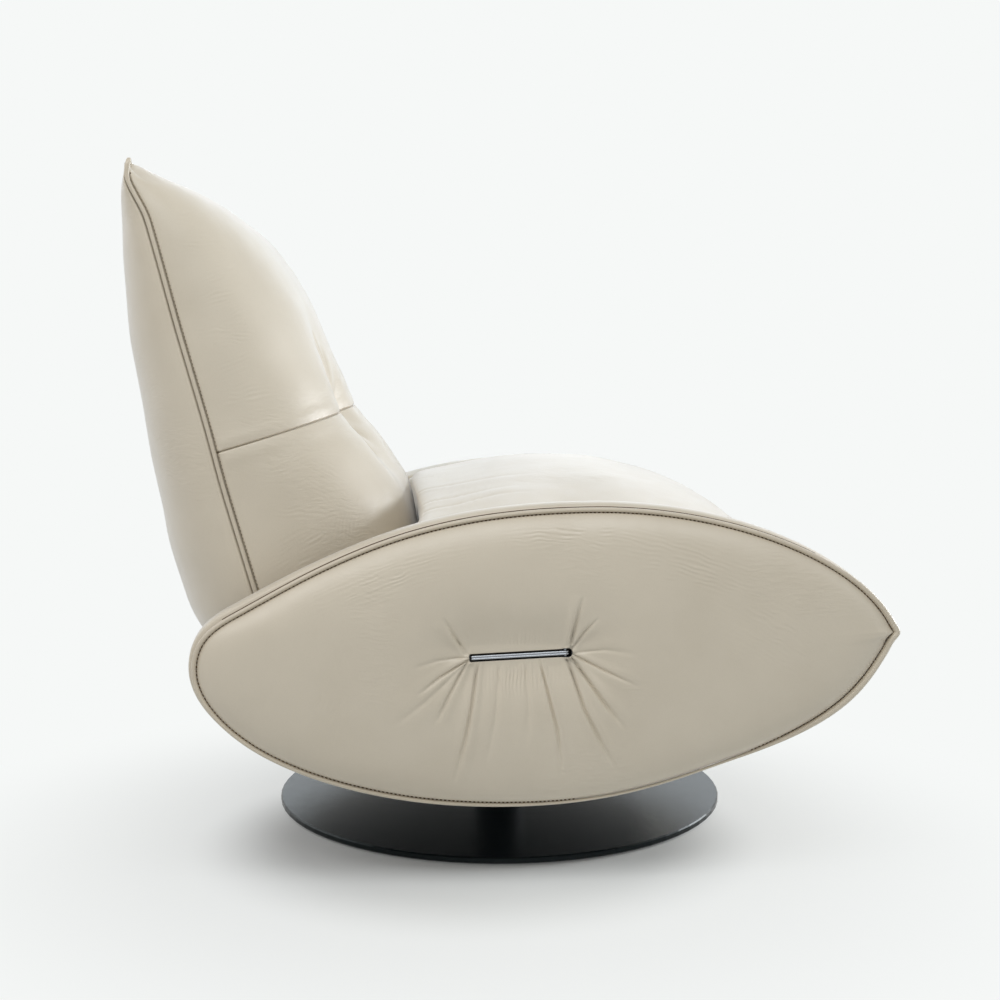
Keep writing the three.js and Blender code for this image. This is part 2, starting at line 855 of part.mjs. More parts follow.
function addArms() {
  bothSides((name, sign) => {
    const boardShape = new THREE.Shape(insetOutline(arm.boardInset));
    let board = sheet(boardShape, ...span(sign, arm.innerFace, arm.innerFace + arm.board));
    let pad = armPad(sign);
    if (sign < 0) {
      const hole = box(
        [lever.x - cable.chaseHalf, -arm.innerFace - arm.board - cutOverrun, cable.chaseBottom],
        [lever.x + cable.chaseHalf, -arm.innerFace + cutOverrun, cable.chaseBottom + cable.holeHeight],
      );
      board = cut(board, hole);
      pad = cut(pad, ...leverRoom());
    }
    place(`arm_board_${name}`, board, finishes.plywood);
    place(`arm_pad_${name}`, pad, finishes.leather);
    const path = insetOutline(arm.weltRadius).map((p) => new THREE.Vector3(p.x, sign * arm.weltPlane, p.y));
    place(`arm_welt_${name}`, tube(path, arm.weltRadius, weltSides, true), finishes.welt);
  });
}

// Padded side: an upright wall, a groove for the welt and a crowned outer face
function armPad(sign) {
  const { grooveHalf, weltPlane, wallInset, shoulderInset, crown, crownExponent } = arm;
  const steps = [
    [padInner, wallInset],
    [weltPlane - grooveHalf - touchGap, wallInset],
    [weltPlane - grooveHalf + touchGap, shoulderInset + touchGap],
    [weltPlane + touchGap, shoulderInset + touchGap],
  ];
  const rings = steps.map(([y, inset]) => insetOutline(inset).map((p) => new THREE.Vector3(p.x, sign * y, p.y)));
  const last = insetOutline(shoulderInset + touchGap);
  const middle = new THREE.Box2().setFromPoints(last).getCenter(new THREE.Vector2());
  crownShares.forEach((share) => {
    const swell = weltPlane + crown * Math.sqrt(1 - share ** crownExponent);
    rings.push(last.map((p) => {
      const x = middle.x + (p.x - middle.x) * share;
      const z = middle.y + (p.y - middle.y) * share;
      return new THREE.Vector3(x, sign * (swell - (sign < 0 ? leverDip(x, z) : 0)), z);
    }));
  });
  return loft(rings);
}

// Depth by which the leather is drawn in round the lever
function leverDip(x, z) {
  const along = Math.max(Math.abs(x - lever.x) - lever.overall / 2, 0);
  return lever.dip * Math.exp(-((along ** 2 + (z - lever.z) ** 2) / lever.dipReach ** 2));
}

// Room in the right arm for the lever's housing and the cable behind it
function leverRoom() {
  const housing = new THREE.Group();
  placeLeverGroup(housing);
  housing.updateMatrixWorld();
  const half = lever.overall / 2 + touchGap;
  const pocket = box(
    [-half, -arm.crown, -lever.height / 2 - touchGap],
    [half, lever.depth + touchGap, lever.height / 2 + touchGap],
  ).applyMatrix4(housing.matrixWorld);
  const backOfHousing = -arm.weltPlane - lever.proud + lever.depth;
  const chase = box(
    [lever.x - cable.chaseHalf, backOfHousing - cutOverrun, cable.chaseBottom],
    [lever.x + cable.chaseHalf, -padInner + cutOverrun, cable.chaseTop],
  );
  return [pocket, chase];
}

function placeLeverGroup(group) {
  group.position.set(lever.x, -arm.weltPlane - lever.proud, lever.z);
  group.rotation.y = -lever.tiltAngle * degree;
}

// Lever group: local x runs forward along the bar and local y runs into the arm.
function addLever() {
  const group = new THREE.Group();
  placeLeverGroup(group);
  chair.add(group);
  const halfLength = lever.overall / 2;
  const halfHeight = lever.height / 2;
  const roomEnd = halfLength - lever.wallEnd;
  const roomHalf = halfHeight - lever.wallSide;
  const pivotX = roomEnd - lever.endGap - lever.bossRadius;
  const pivotY = lever.barDepth / 2 - lever.barProud;
  const tray = box([-halfLength, 0, -halfHeight], [halfLength, lever.depth, halfHeight]);
  const room = box([-roomEnd, -cutOverrun, -roomHalf], [roomEnd, lever.depth - lever.wallBack, roomHalf]);
  const drill = rod(lever.pinRadius + touchGap, -lever.height, lever.height, pinSides).translate(pivotX, pivotY, 0);
  place('lever_housing', cut(tray, room, drill), finishes.plastic, group);
  const barHalf = lever.barHeight / 2;
  const barLow = [-roomEnd + lever.endGap, -lever.barProud, -barHalf];
  const bar = box(barLow, [pivotX, lever.barDepth - lever.barProud, barHalf]);
  const boss = rod(lever.bossRadius, -barHalf, barHalf, roundSides).translate(pivotX, pivotY, 0);
  place('lever_bar', cut(join(bar, boss), drill), finishes.graphite, group);
  const pin = rod(lever.pinRadius, -halfHeight, halfHeight, pinSides).translate(pivotX, pivotY, 0);
  place('lever_pin', pin, finishes.steel, group);
}

// Seat cushion: its crown and the drop of its sides follow shares of its length
function addSeatCushion() {
  const length = footrest.x - seat.rear;
  const bottom = deckTop + touchGap;
  const rings = [
    seatRing(seat.tail, bottom, bottom + seat.tailLow, touchGap),
    seatRing(seat.rear - touchGap, bottom, bottom + seat.tailHigh, touchGap),
  ];
  const shares = seatTopShares.flatMap(([share], i) => {
    const next = seatTopShares[i + 1];
    return next ? [share, (share + next[0]) / 2] : [share];
  });
  shares.forEach((share) => {
    const top = bottom + seatCrown * eased(seatTopShares, share);
    const drop = seatCrown * eased(seatDropShares, share);
    rings.push(seatRing(seat.rear + length * share, bottom, top, drop));
  });
  const topAtPin = bottom + seatCrown * seatTopShares[seatTopShares.length - 1][1];
  noseShares.forEach((share) => {
    const middle = (bottom + topAtPin) / 2;
    const height = (topAtPin - middle) * Math.sqrt(1 - share ** 2);
    const x = footrest.x + seat.noseRadius * share;
    rings.push(seatRing(x, middle - height, middle + height, height * seat.tuckShare));
  });
  place('seat_cushion', loft(rings), finishes.leather);
}

// Section of the seat cushion across the seat, with its sides drawn in at the foot
function seatRing(x, bottom, top, drop) {
  const share = Math.min(Math.max((x - seat.noseFrom) / (seat.noseTo - seat.noseFrom), 0), 1);
  const half = seatHalf + (seatNoseHalf - seatHalf) * share;
  const drawn = half - drop * seat.tuckShare;
  const points = [new THREE.Vector3(x, -drawn, bottom), new THREE.Vector3(x, drawn, bottom)];
  for (let i = 0; i <= seatColumns; i++) {
    const across = Math.sin((1 - (2 * i) / seatColumns) * Math.PI / 2);
    const z = top - drop * Math.abs(across) ** seatSideExponent;
    points.push(new THREE.Vector3(x, half * across, z));
  }
  return points;
}

function addUnderside() {
  const shape = undersideStrip(shell.from, shell.to, shell.lift, shell.thickness, shellSteps);
  const slot = box([-shell.slotHalfX, -shell.slotHalfY, 0], [shell.slotHalfX, shell.slotHalfY, columnTop]);
  place('underside_shell', cut(sheet(shape, -shellHalf, shellHalf), slot), finishes.darkCloth);
}

function addFootrest() {
  const { x, z, from, to, boardTo, lift, pad, board } = footrest;
  const end = footrestPadHalf + cutOverrun;
  const nose = crossRod(seat.noseRadius + seat.noseRoom, x, z, -end, end, smoothSides);
  const padShape = undersideStrip(from, to, lift, pad, footrestSteps);
  const padding = sheet(padShape, -footrestPadHalf, footrestPadHalf);
  place('footrest_pad', cut(padding, nose), finishes.leather);
  const boardShape = undersideStrip(from, boardTo, lift + pad + touchGap, board, footrestSteps);
  place('footrest_board', sheet(boardShape, -footrestArmInner, footrestArmInner), finishes.plywood);
  bothSides((name, sign) => place(`footrest_arm_${name}`, footrestArm(sign), finishes.blackSteel));
}

// Plate from the footrest pin to the edge of the footrest board
function footrestArm(sign) {
  const { x, z, from, boardTo, lift, pad, armRootShare, armRootDepth, armFromAngle, armToAngle } = footrest;
  const rootX = boardTo - (boardTo - from) * armRootShare;
  const root = underside(rootX, boardTo, lift + pad + touchGap, footrestArmSteps);
  const [inner] = underside(rootX, boardTo, armRootDepth, footrestArmSteps);
  const shape = new THREE.Shape(root);
  shape.absarc(x, z, footrest.bossRadius, armFromAngle * degree, armToAngle * degree, false);
  shape.lineTo(inner.x, inner.y);
  shape.closePath();
  const [fromY, toY] = span(sign, footrestArmInner, footrestArmOuter);
  const drill = crossRod(footrest.pinRadius + touchGap, x, z, fromY - cutOverrun, toY + cutOverrun, roundSides);
  return cut(sheet(shape, fromY, toY), drill);
}

// Back group: local x points out of the sitter's side and local z up along the back.
function backGroup() {
  const group = new THREE.Group();
  group.position.set(back.footX, 0, back.footZ);
  group.rotation.y = -back.leanAngle * degree;
  group.updateMatrixWorld();
  return group;
}

// A point of the row frame in the back group's x and z
function inBack(x, z) {
  const local = backGroup().worldToLocal(new THREE.Vector3(x, 0, z));
  return [local.x, local.z];
}

function backHalf(height) {
  const share = Math.min(Math.max(height / back.height, 0), 1);
  return backFootHalf - back.earDrawIn * share;
}

// Pad of the back between two heights; its depth follows shares of the full depth
function backPad(lowShare, highShare, shares, depth, start, direction, tuft) {
  const rings = [];
  for (let r = 0; r <= backRows; r++) {
    const share = lowShare + (highShare - lowShare) * Math.sin((r / backRows) * Math.PI / 2);
    rings.push(backRing(share, Math.max(eased(shares, share) * depth, back.edgeDepth), start, direction, tuft));
  }
  return loft(rings);
}

function backRing(share, depth, start, direction, tuft) {
  const height = back.height * share;
  const half = backHalf(height);
  const dip = back.earDip * Math.max(share, 0) ** back.earExponent;
  const lip = back.edgeDepth / 2;
  const point = (across, x) => {
    return new THREE.Vector3(start + direction * x, half * across, height - dip * (1 - across ** 2));
  };
  const points = [];
  for (let i = 0; i <= backColumns; i++) {
    const across = -Math.cos((i / backColumns) * Math.PI);
    const swell = (1 - Math.abs(across) ** back.squareExponent) ** back.roundExponent;
    points.push(point(across, lip + (depth - lip) * swell - tuft * tuftShare(half * across, height)));
  }
  for (let i = backColumns; i >= 0; i -= rearColumnStep) {
    points.push(point(-Math.cos((i / backColumns) * Math.PI), 0));
  }
  return points;
}

// Share of a tuft's full depth at a place on the back: two tufts lie on the cross seam.
function tuftShare(y, height) {
  const bell = (distance, reach) => Math.exp(-((distance / reach) ** 2));
  const across = bell(y - back.tuftOffset, back.tuftHalf) + bell(y + back.tuftOffset, back.tuftHalf);
  return across * bell(height - back.seam, back.tuftReach);
}

function addBack() {
  const group = backGroup();
  chair.add(group);
  const lowShare = -back.below / back.height;
  const seamShare = back.seam / back.height;
  const seamHalf = touchGap / back.height;
  place('back_cushion_lower',
    backPad(lowShare, seamShare - seamHalf, lowerFrontShares, back.frontDepth, touchGap, 1, back.tuft),
    finishes.leather, group);
  place('back_cushion_upper',
    backPad(seamShare + seamHalf, 1, upperFrontShares, back.frontDepth, touchGap, 1, back.tuft),
    finishes.leather, group);
  place('back_shell',
    backPad(lowShare, 1, rearShares, back.rearDepth - back.board, -back.board - touchGap, -1, 0),
    finishes.leather, group);
  place('back_frame', backBoard(), finishes.plywood, group);
  place('back_welt', backWelt(), finishes.welt, group);
  bothSides((name, sign) => place(`back_arm_${name}`, backArm(sign), finishes.blackSteel, group));
  place('gas_fork', gasFork(), finishes.blackSteel, group);
}

// Board in the middle of the back, wider at the hips where the hinge plates bolt on
function backBoard() {
  const { hipTop, below, boardInset, board } = back;
  const footHalf = backFootHalf - boardInset;
  const topHalf = backHalf(boardTop) - boardInset;
  const shape = polygon([
    [-hipHalf, -below], [hipHalf, -below], [hipHalf, hipTop], [footHalf, hipTop],
    [topHalf, boardTop], [-topHalf, boardTop], [-footHalf, hipTop], [-hipHalf, hipTop],
  ]);
  const slab = new THREE.ExtrudeGeometry(shape, { depth: board, bevelEnabled: false });
  // drawn in y and z, deepened towards the rear
  return slab.applyMatrix4(new THREE.Matrix4().set(0, 0, -1, 0, 1, 0, 0, 0, 0, 1, 0, 0, 0, 0, 0, 1));
}

// Welt up one edge of the back, over the top and down the other edge
function backWelt() {
  const x = -back.board / 2;
  const top = back.height - back.weltRadius;
  const edge = Array.from({ length: weltRiseSteps + 1 }, (unused, i) => {
    const height = (top * i) / weltRiseSteps;
    return new THREE.Vector3(x, backHalf(height) - back.weltRadius, height);
  });
  const cornerY = backHalf(top) - back.weltRadius;
  const over = [];
  for (let i = 1; i < weltAcrossSteps; i++) {
    const share = 1 - (2 * i) / weltAcrossSteps;
    over.push(new THREE.Vector3(x, cornerY * share, top - back.earDip * (1 - share ** 2)));
  }
  const otherEdge = edge.map((point) => point.clone().setY(-point.y)).reverse();
  return tube([...edge, ...over, ...otherEdge], back.weltRadius, weltSides, false);
}

// Steel plate that carries the back on its recline pin
function backArm(sign) {
  const { armLow, armHigh, armRear, armFront, armThickness } = back;
  const [pinX, pinZ] = inBack(recline.x, recline.z);
  const shape = polygon([[armRear, armLow], [armFront, armLow], [armFront, armHigh], [armRear, armHigh]]);
  const [fromY, toY] = span(sign, hipHalf, hipHalf + armThickness);
  const hole = recline.pinRadius + touchGap;
  const drill = crossRod(hole, pinX, pinZ, fromY - cutOverrun, toY + cutOverrun, roundSides);
  return cut(sheet(shape, fromY, toY), drill);
}

// Pin of the gas spring's fork, in the row frame: half the recline travel behind straight down
const crankAngle = (recline.travelAngle / 2) * degree;
const gasPinX = recline.x - gas.crank * Math.sin(crankAngle);
const gasPinZ = recline.z - gas.crank * Math.cos(crankAngle);

// Plate under the back board, with the pin that the gas spring's eye sits on
function gasFork() {
  const [pinX, pinZ] = inBack(gasPinX, gasPinZ);
  const bottom = -back.below - touchGap;
  const shape = new THREE.Shape();
  shape.moveTo(0, bottom);
  shape.lineTo(-back.board, bottom);
  shape.absarc(pinX, pinZ, gas.eyeRadius, gas.forkFromAngle * degree, gas.forkToAngle * degree, false);
  shape.lineTo(0, bottom - back.board);
  shape.closePath();
  const fromY = gas.y + gas.eyeThickness / 2 + touchGap;
  const cheek = sheet(shape, fromY, fromY + gas.forkThickness);
  const pinFrom = gas.y - gas.eyeThickness / 2;
  const pin = crossRod(gas.pinRadius, pinX, pinZ, pinFrom, fromY + gas.forkThickness / 2, pinSides);
  return join(cheek, pin);
}

// Round bar along X
function longRod(radius, fromX, toX, y, z, segments) {
  const geometry = new THREE.CylinderGeometry(radius, radius, toX - fromX, segments);
  return geometry.rotateZ(Math.PI / 2).translate((fromX + toX) / 2, y, z);
}

const gasBracketRear = -frame.crossOffset - frame.crossWidth / 2 - gas.bracket;
const gasFront = gasBracketRear - touchGap;
const gasRear = gasFront - gas.bodyLength;

function addGasSpring() {
  const bracket = box(
    [gasBracketRear, gas.y - gas.bracketHalf, frame.railBottom],
    [gasBracketRear + gas.bracket, gas.y + gas.bracketHalf, railTop],
  );
  place('gas_bracket', bracket, finishes.blackSteel);
  const body = longRod(gas.radius, gasRear, gasFront, gas.y, gasPinZ, roundSides);
  const boreRadius = gas.rodRadius + touchGap;
  const boreFrom = gasRear - cutOverrun;
  const bore = longRod(boreRadius, boreFrom, gasRear + gas.boreDepth, gas.y, gasPinZ, roundSides);
  place('gas_cylinder', cut(body, bore), finishes.blackSteel);
  const halfEye = gas.eyeThickness / 2;
  const shank = longRod(gas.rodRadius, gasPinX, gasPinX + gas.rodLength, gas.y, gasPinZ, roundSides);
  const eye = crossRod(gas.eyeRadius, gasPinX, gasPinZ, gas.y - halfEye, gas.y + halfEye, roundSides);
  const room = gas.pinRadius + touchGap;
  const slot = box(
    [gasPinX - room, gas.y - gas.eyeThickness, gasPinZ - room - gas.slotDrop],
    [gasPinX + room, gas.y + gas.eyeThickness, gasPinZ + room],
  );
  place('gas_rod', cut(join(shank, eye), slot), finishes.steel);
}

// Cable from the lever's housing, down behind the arm pad and in to the gas spring's head
function addCable() {
  const start = -arm.weltPlane - lever.proud + lever.depth + touchGap * 2;
  const chaseY = (start - padInner) / 2;
  const drop = cable.chaseBottom + cable.holeHeight / 2;
  const end = gas.y - gas.bracketHalf - touchGap;
  const headX = gasBracketRear + gas.bracket / 2;
  const headZ = frame.railBottom + cable.holeHeight / 2;
  const route = [
    [lever.x, start, lever.z],
    [lever.x, start + cable.chaseHalf, lever.z],
    [lever.x, chaseY, lever.z - cable.holeHeight / 2],
    [lever.x, chaseY, (lever.z + drop) / 2],
    [lever.x, -padInner, drop + cable.chaseHalf / 2],
    [lever.x, -arm.innerFace + boardDepth / 2, drop],
    [(lever.x + headX) / 2, (end - arm.innerFace) / 2, drop],
    [headX, end - cable.lead, drop],
    [headX, end - cable.holeHeight / 2, headZ],
    [headX, end, headZ],
  ].map((point) => new THREE.Vector3(...point));
  const curve = new THREE.CatmullRomCurve3(route, false, 'centripetal');
  const sheath = tube(curve.getSpacedPoints(cableSteps), cable.radius, cableSides, false);
  place('release_cable', sheath, finishes.rubber);
}

// Curved board that closes the space under the back as the back reclines
function addApron() {
  const inner = apron.outer - apron.thickness;
  const shape = new THREE.Shape();
  shape.absarc(recline.x, recline.z, apron.outer, apron.fromAngle * degree, apron.toAngle * degree, false);
  shape.absarc(recline.x, recline.z, inner, apron.toAngle * degree, apron.fromAngle * degree, true);
  shape.closePath();
  place('back_apron', sheet(shape, -apronHalf, apronHalf), finishes.leather);
}

addFoot();
addSwivel();
addRocker();
addSeatFrame();
addArms();
addLever();
addSeatCushion();
addUnderside();
addFootrest();
addBack();
addApron();
addGasSpring();
addCable();

export default chair;
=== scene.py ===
import math
import bpy
import numpy as np
from mathutils import Euler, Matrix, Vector


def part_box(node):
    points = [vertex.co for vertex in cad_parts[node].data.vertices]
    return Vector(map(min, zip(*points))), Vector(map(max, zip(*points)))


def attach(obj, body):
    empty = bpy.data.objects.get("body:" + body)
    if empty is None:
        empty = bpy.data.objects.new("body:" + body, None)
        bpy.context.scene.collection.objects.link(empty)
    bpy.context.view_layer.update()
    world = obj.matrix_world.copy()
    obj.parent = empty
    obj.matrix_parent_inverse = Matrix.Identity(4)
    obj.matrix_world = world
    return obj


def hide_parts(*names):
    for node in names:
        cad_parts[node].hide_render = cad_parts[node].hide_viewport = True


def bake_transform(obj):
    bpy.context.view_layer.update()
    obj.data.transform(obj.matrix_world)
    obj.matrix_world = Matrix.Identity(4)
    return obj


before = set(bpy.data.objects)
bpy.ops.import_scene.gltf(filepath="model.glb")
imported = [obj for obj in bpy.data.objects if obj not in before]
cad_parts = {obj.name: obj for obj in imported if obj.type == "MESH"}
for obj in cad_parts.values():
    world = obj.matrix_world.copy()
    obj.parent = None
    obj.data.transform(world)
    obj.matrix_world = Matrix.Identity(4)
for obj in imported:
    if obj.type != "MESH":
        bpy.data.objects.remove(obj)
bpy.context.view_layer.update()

# Swivel rocker lounge chair: leather, welts, stitches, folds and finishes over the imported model.
# Lengths are in millimetres, and each mesh is written in metres. X points forward, Y to the
# sitter's left, Z up, and the origin is on the floor under the foot.

MM = 0.001
FULL_TURN = 2 * math.pi


def box(name):
    """Lowest and highest corner of a CAD node."""
    low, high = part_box(name)
    return np.array(low) / MM, np.array(high) / MM


# Sizes of the arms

# Outline in the side view from the rear end along the underside to the tip and back over the
# top: each knot's place, then the length and angle of its handles before and after it
ARM_KNOTS = [
    ((-371, 258), (46, 90), (71, -90)),
    ((-11, 97), (228, 180), (127, 0)),
    ((248, 148.5), (-69, 18), (148, 18)),
    ((432, 291), (-65, 58), (85, 110)),
    ((83, 439), (165, 0), (181, 180)),
    ((-318, 328), (148, 28), (-20, 28)),
]
ARM_INNER = box("arm_board_left")[0][1]
welt_low, welt_high = box("arm_welt_left")
WELT_PLANE = (welt_low[1] + welt_high[1]) / 2
LEVER = dict(x=-2, z=274, tilt=2.5, half=117 / 2, half_height=12.4 / 2, gap=0.4, proud=14, dip=14, reach=42)
SLOT_CORNER = 2.4
SLOT_HALF = LEVER["half_height"] + LEVER["gap"]
LIP_HALF = 4.7
LIP_SWELL = 0.7
LIP_PROUD = 0.9

# Round an arm, by x, along its underside and along its top
ROUND_ARM = dict(
    # how far the welt's outer edge lies inside the outline
    lead=(
        [(-372, 4), (-300, 1.6), (-190, 0.9), (-110, 0.2), (265, 0), (433, 0)],
        [(-372, 4), (-350, 5.2), (-300, 4.4), (-240, 2.8), (-150, 1.9), (200, 1.6), (300, 1.1), (433, 0)]),
    # the welt's radius
    radius=(
        [(-372, 2.7), (-190, 2.7), (-110, 2.5), (-10, 2.2), (70, 1.7), (150, 1.5), (225, 1.5),
         (265, 1.9), (300, 3.0), (345, 4.0), (385, 4.4), (433, 3.8)],
        [(-372, 2.7), (-240, 2.6), (200, 2.6), (300, 2.8), (380, 3.2), (433, 3.8)]),
    # how far the padded boxing stands proud of the outline
    proud=(
        [(-372, 0.6), (-300, 0), (240, 0), (320, 0.6), (400, 0), (433, 0)],
        [(-372, 0.6), (-330, 1.2), (-250, 2.8), (-100, 3.6), (250, 3.6), (340, 2), (400, 0.4), (433, 0)]),
)

# Boxing from the inside out to the welt: distance inside the outline, height over the inner face
BOXING = [
    (9, 0.2), (6, 0.6), (3.2, 2.4), (1.6, 6), (0.6, 12), (0.1, 19), (0.1, 27), (0.2, 34), (0.4, 39),
    (0.8, 42), (1.5, 43.6), (2.4, 44.6)]
ARM_MIDDLE = (30.0, 268.0)
REAR_BULGE = dict(place=(-330, 335), height=1.2, reach=90)
FACE_SWELL = 15
# the panel rolls over at its sewn edge: height and width of a tight and of a wide roll
ROLLS = [(2.4, 2.2), (13, 18)]
ARM_STITCH = dict(pitch=4.7, length=3.1, radius=0.85, aside=1.3)
# the dark closing seam along the arm's top, which paints the crease's shadow line, ends at this distance from
# the middle in x
SHADOW_SEAM_END = 335

# Fine wrinkles on an arm's face: centre, half sizes, angle, pitch, height and seed
ARM_CREASES = [
    (60, 405, 60, 14, -4, 4.6, 0.3, 2), (190, 372, 60, 22, -18, 5.2, 0.32, 7),
    (-150, 360, 60, 16, 20, 4.8, 0.28, 11), (280, 300, 50, 30, -30, 5.6, 0.26, 13),
    (-200, 250, 60, 40, 70, 5.4, 0.24, 15),
]
# Folds round the lever: path, height, width and how far one ridge is left out
PUCKERS = [
    ([(52, 279), (57, 305), (66, 342)], 1.5, 1.5, 0.5),
    ([(58, 285), (69, 301), (84, 317)], 0.9, 1.3, 0.2),
    ([(60, 272), (90, 257), (128, 239)], 1.0, 1.5, 0.2),
    ([(57, 267), (90, 221), (115, 189)], 1.6, 1.7, 0.4),
    ([(51, 264), (68, 214), (88, 174), (107, 139)], 1.5, 1.6, 0.3),
    ([(20, 262), (29, 226), (38, 190), (44, 134)], 1.3, 1.4, 0.3),
    ([(-51, 262), (-57, 222), (-64, 185), (-78, 127)], 1.4, 1.6, 0.4),
    ([(-64, 264), (-82, 232), (-98, 199)], 1.2, 1.5, 0.3),
    ([(-65, 267), (-92, 252), (-118, 232)], 1.1, 1.5, 0.2),
    ([(-66, 281), (-78, 300), (-89, 319)], 1.0, 1.6, 0.2),
    ([(-66, 272), (-96, 270), (-124, 262)], 0.5, 2.0, 0.1),
    ([(60, 276), (92, 280), (126, 276)], 0.45, 2.0, 0.1),
    ([(4, 262), (6, 214), (2, 168)], 0.55, 2.6, 0.1),
    ([(-26, 261), (-31, 205), (-42, 150)], 0.55, 2.6, 0.1),
    ([(-70, 260), (-110, 224), (-146, 196)], 0.5, 2.6, 0.1),
]
PUCKER_GAIN = 1.9

# Sizes of the back, in a leaned frame: height s up the back, width y, depth t forwards

BACK = dict(
    foot=(-293, 331), lean=16.4, height=517, below=60, seam=171, foot_half=308, ear_half=285,
    ear_dip=16, square=3.2, round=0.52, board=12,
    tuft=24, tuft_y=100, tuft_half=38, tuft_reach=85,
)
FRONT_KNOTS = [
    (-60, 165), (-40, 176), (0, 189), (48, 193), (90, 183), (130, 170), (171, 152), (210, 149),
    (254, 142), (315, 135), (360, 125), (411, 108), (449, 86), (480, 60), (500, 34), (511, 17), (517, 6),
]
WELT_BOW = [
    (-60, -8), (116, -7.5), (212, -4.5), (319, -3), (400, -0.5), (447, 0.5), (476, -4.5), (498, -8),
    (510, -5), (517, -2),
]
REAR_KNOTS = [
    (-60, 102), (-48, 106), (0, 118), (62, 118), (127, 111), (193, 105), (256, 96), (319, 88),
    (380, 73), (442, 56), (483, 38), (505, 24), (517, 13),
]
# the stuffing's edge lies inside the welt's outer edge, and the leather is drawn in beside it
EDGE_ROOM = 3
DRAWN_IN = 4.2
WELT_RADIUS = 2.35
EAR_HORN = 16

# Wrinkles on the sides of the front cushion: depth, height, half sizes, angle, pitch, amount
BACK_CREASES = [
    (56, 440, 20, 8, 5, 4.4, 0.50), (62, 405, 24, 12, -8, 4.6, 0.55), (70, 368, 26, 12, 10, 4.4, 0.52),
    (50, 340, 30, 10, 4, 4.6, 0.42), (74, 318, 28, 16, 18, 4.4, 0.55), (48, 296, 26, 14, -14, 4.2, 0.52),
    (60, 260, 34, 14, 8, 5.0, 0.34), (54, 222, 30, 12, -6, 5.2, 0.30),
    (70, 128, 30, 16, 12, 4.6, 0.30), (110, 96, 26, 22, -50, 4.6, 0.42), (80, 74, 34, 14, -20, 4.4, 0.42),
    (62, 34, 34, 22, 10, 4.8, 0.36), (120, 46, 24, 20, 60, 4.6, 0.30), (90, 4, 36, 16, 14, 5.0, 0.30),
]
# Wrinkles on the rear shell: centre, half sizes and angle
SHELL_CREASES = [
    (-150, 120, 70, 40, 15), (120, 300, 70, 50, -20), (0, 60, 120, 30, 4), (-60, 400, 80, 24, 8),
    (180, 160, 50, 40, -35)]
# Pleats at a tuft, above and below the channel: lean, length and height
TUFT_RISING = [(-0.22, 96, 4.0), (0.02, 112, 4.6), (0.26, 92, 4.0)]
TUFT_FALLING = [(-0.5, 52, 2.4), (0.05, 74, 2.6), (0.5, 50, 2.2)]
# Rows of stitches beside the back's welt: label, side, rise above the seam, highest s, length
BACK_ROWS = [("front", 1, 4.6, 505, 3.1), ("rear", -1, 8.0, 430, 2.6)]
BACK_PITCH = 4.6
BACK_THREAD = 0.6

# Sizes of the seat, by x: the crown's height and its fall from the middle to the sides

SEAT_TOP = [
    (-235, 262), (-124, 276), (-112, 320), (-109, 396), (-106, 422), (-102, 434), (-94, 440), (-60, 449),
    (-26, 458), (10, 464), (50, 467), (110, 466), (193, 450), (249, 428), (304, 389), (361, 352),
    (398, 322), (418, 302), (430, 284),
]
SEAT_DROP = [
    (-235, 27), (-94, 27), (-60, 31), (-25, 31), (20, 36), (60, 42), (160, 40), (248, 28), (308, 12),
    (430, 8)]
# how far the seat's rear wall steps back beside the back cushion, by distance from the middle
SEAT_STEP = [(0, 0), (200, 4), (270, 9), (300, 15), (326, 22)]
SEAT_LEAN = 26.0
SEAT_HALF = -box("side_plate_right")[1][1] - 0.6
NOSE_HALF = 310.4
# Wrinkles and folds at the seat's rear: centre and angle; side, lean and length
SEAT_CREASES = [
    (-72, -210, 76), (-46, -250, 82), (-70, -60, 84), (-66, 120, 96), (-30, -140, 80), (-80, 230, 104)]
SEAT_FOLDS = [(-262, 14, 120), (-225, 8, 100), (-150, -6, 130), (60, 10, 140), (170, -8, 130)]

# Sizes of the footrest and the apron

FOOTREST_X = (246, 400)
FOOTREST_LIFT = (5.2, 21.0)
HINGE = (398.0, 288.0)
HINGE_CLEAR = 38.6
APRON_CENTRE = (-300.0, 290.0)
APRON_ANGLES = (213.5, 248.5)
APRON_RADII = (92.6, 86.4)
SIDE_GAP = 0.5


# Curves and noise

def way(value, start, span):
    """Share of the way from a start over a span, held between 0 and 1."""
    return np.clip((value - start) / span, 0, 1)


def smoothstep(t):
    return t * t * (3 - 2 * t)


def bell(distance, width):
    return np.exp(-((distance / width) ** 2))


def size(vectors):
    return np.linalg.norm(vectors, axis=-1)


def unit(vectors, least=0.0):
    return vectors / (size(vectors)[..., None] + least)


def circle(turn):
    return np.stack([np.cos(turn), np.sin(turn)], axis=-1)


def reach(point, length, degrees):
    return point + length * circle(math.radians(degrees))


def steps_of(points):
    return size(np.diff(points, axis=0))


def even(points, count):
    """Evenly spaced places along a line of points."""
    along = np.concatenate([[0], np.cumsum(steps_of(points))])
    at = np.linspace(0, along[-1], count + 1)[:-1]
    return np.stack([np.interp(at, along, points[:, k]) for k in range(points.shape[1])], axis=1)


def in_space(flat, y):
    """Points in space from points in the side view and their y."""
    return np.stack([flat[:, 0], y + np.zeros(len(flat)), flat[:, 1]], axis=1)


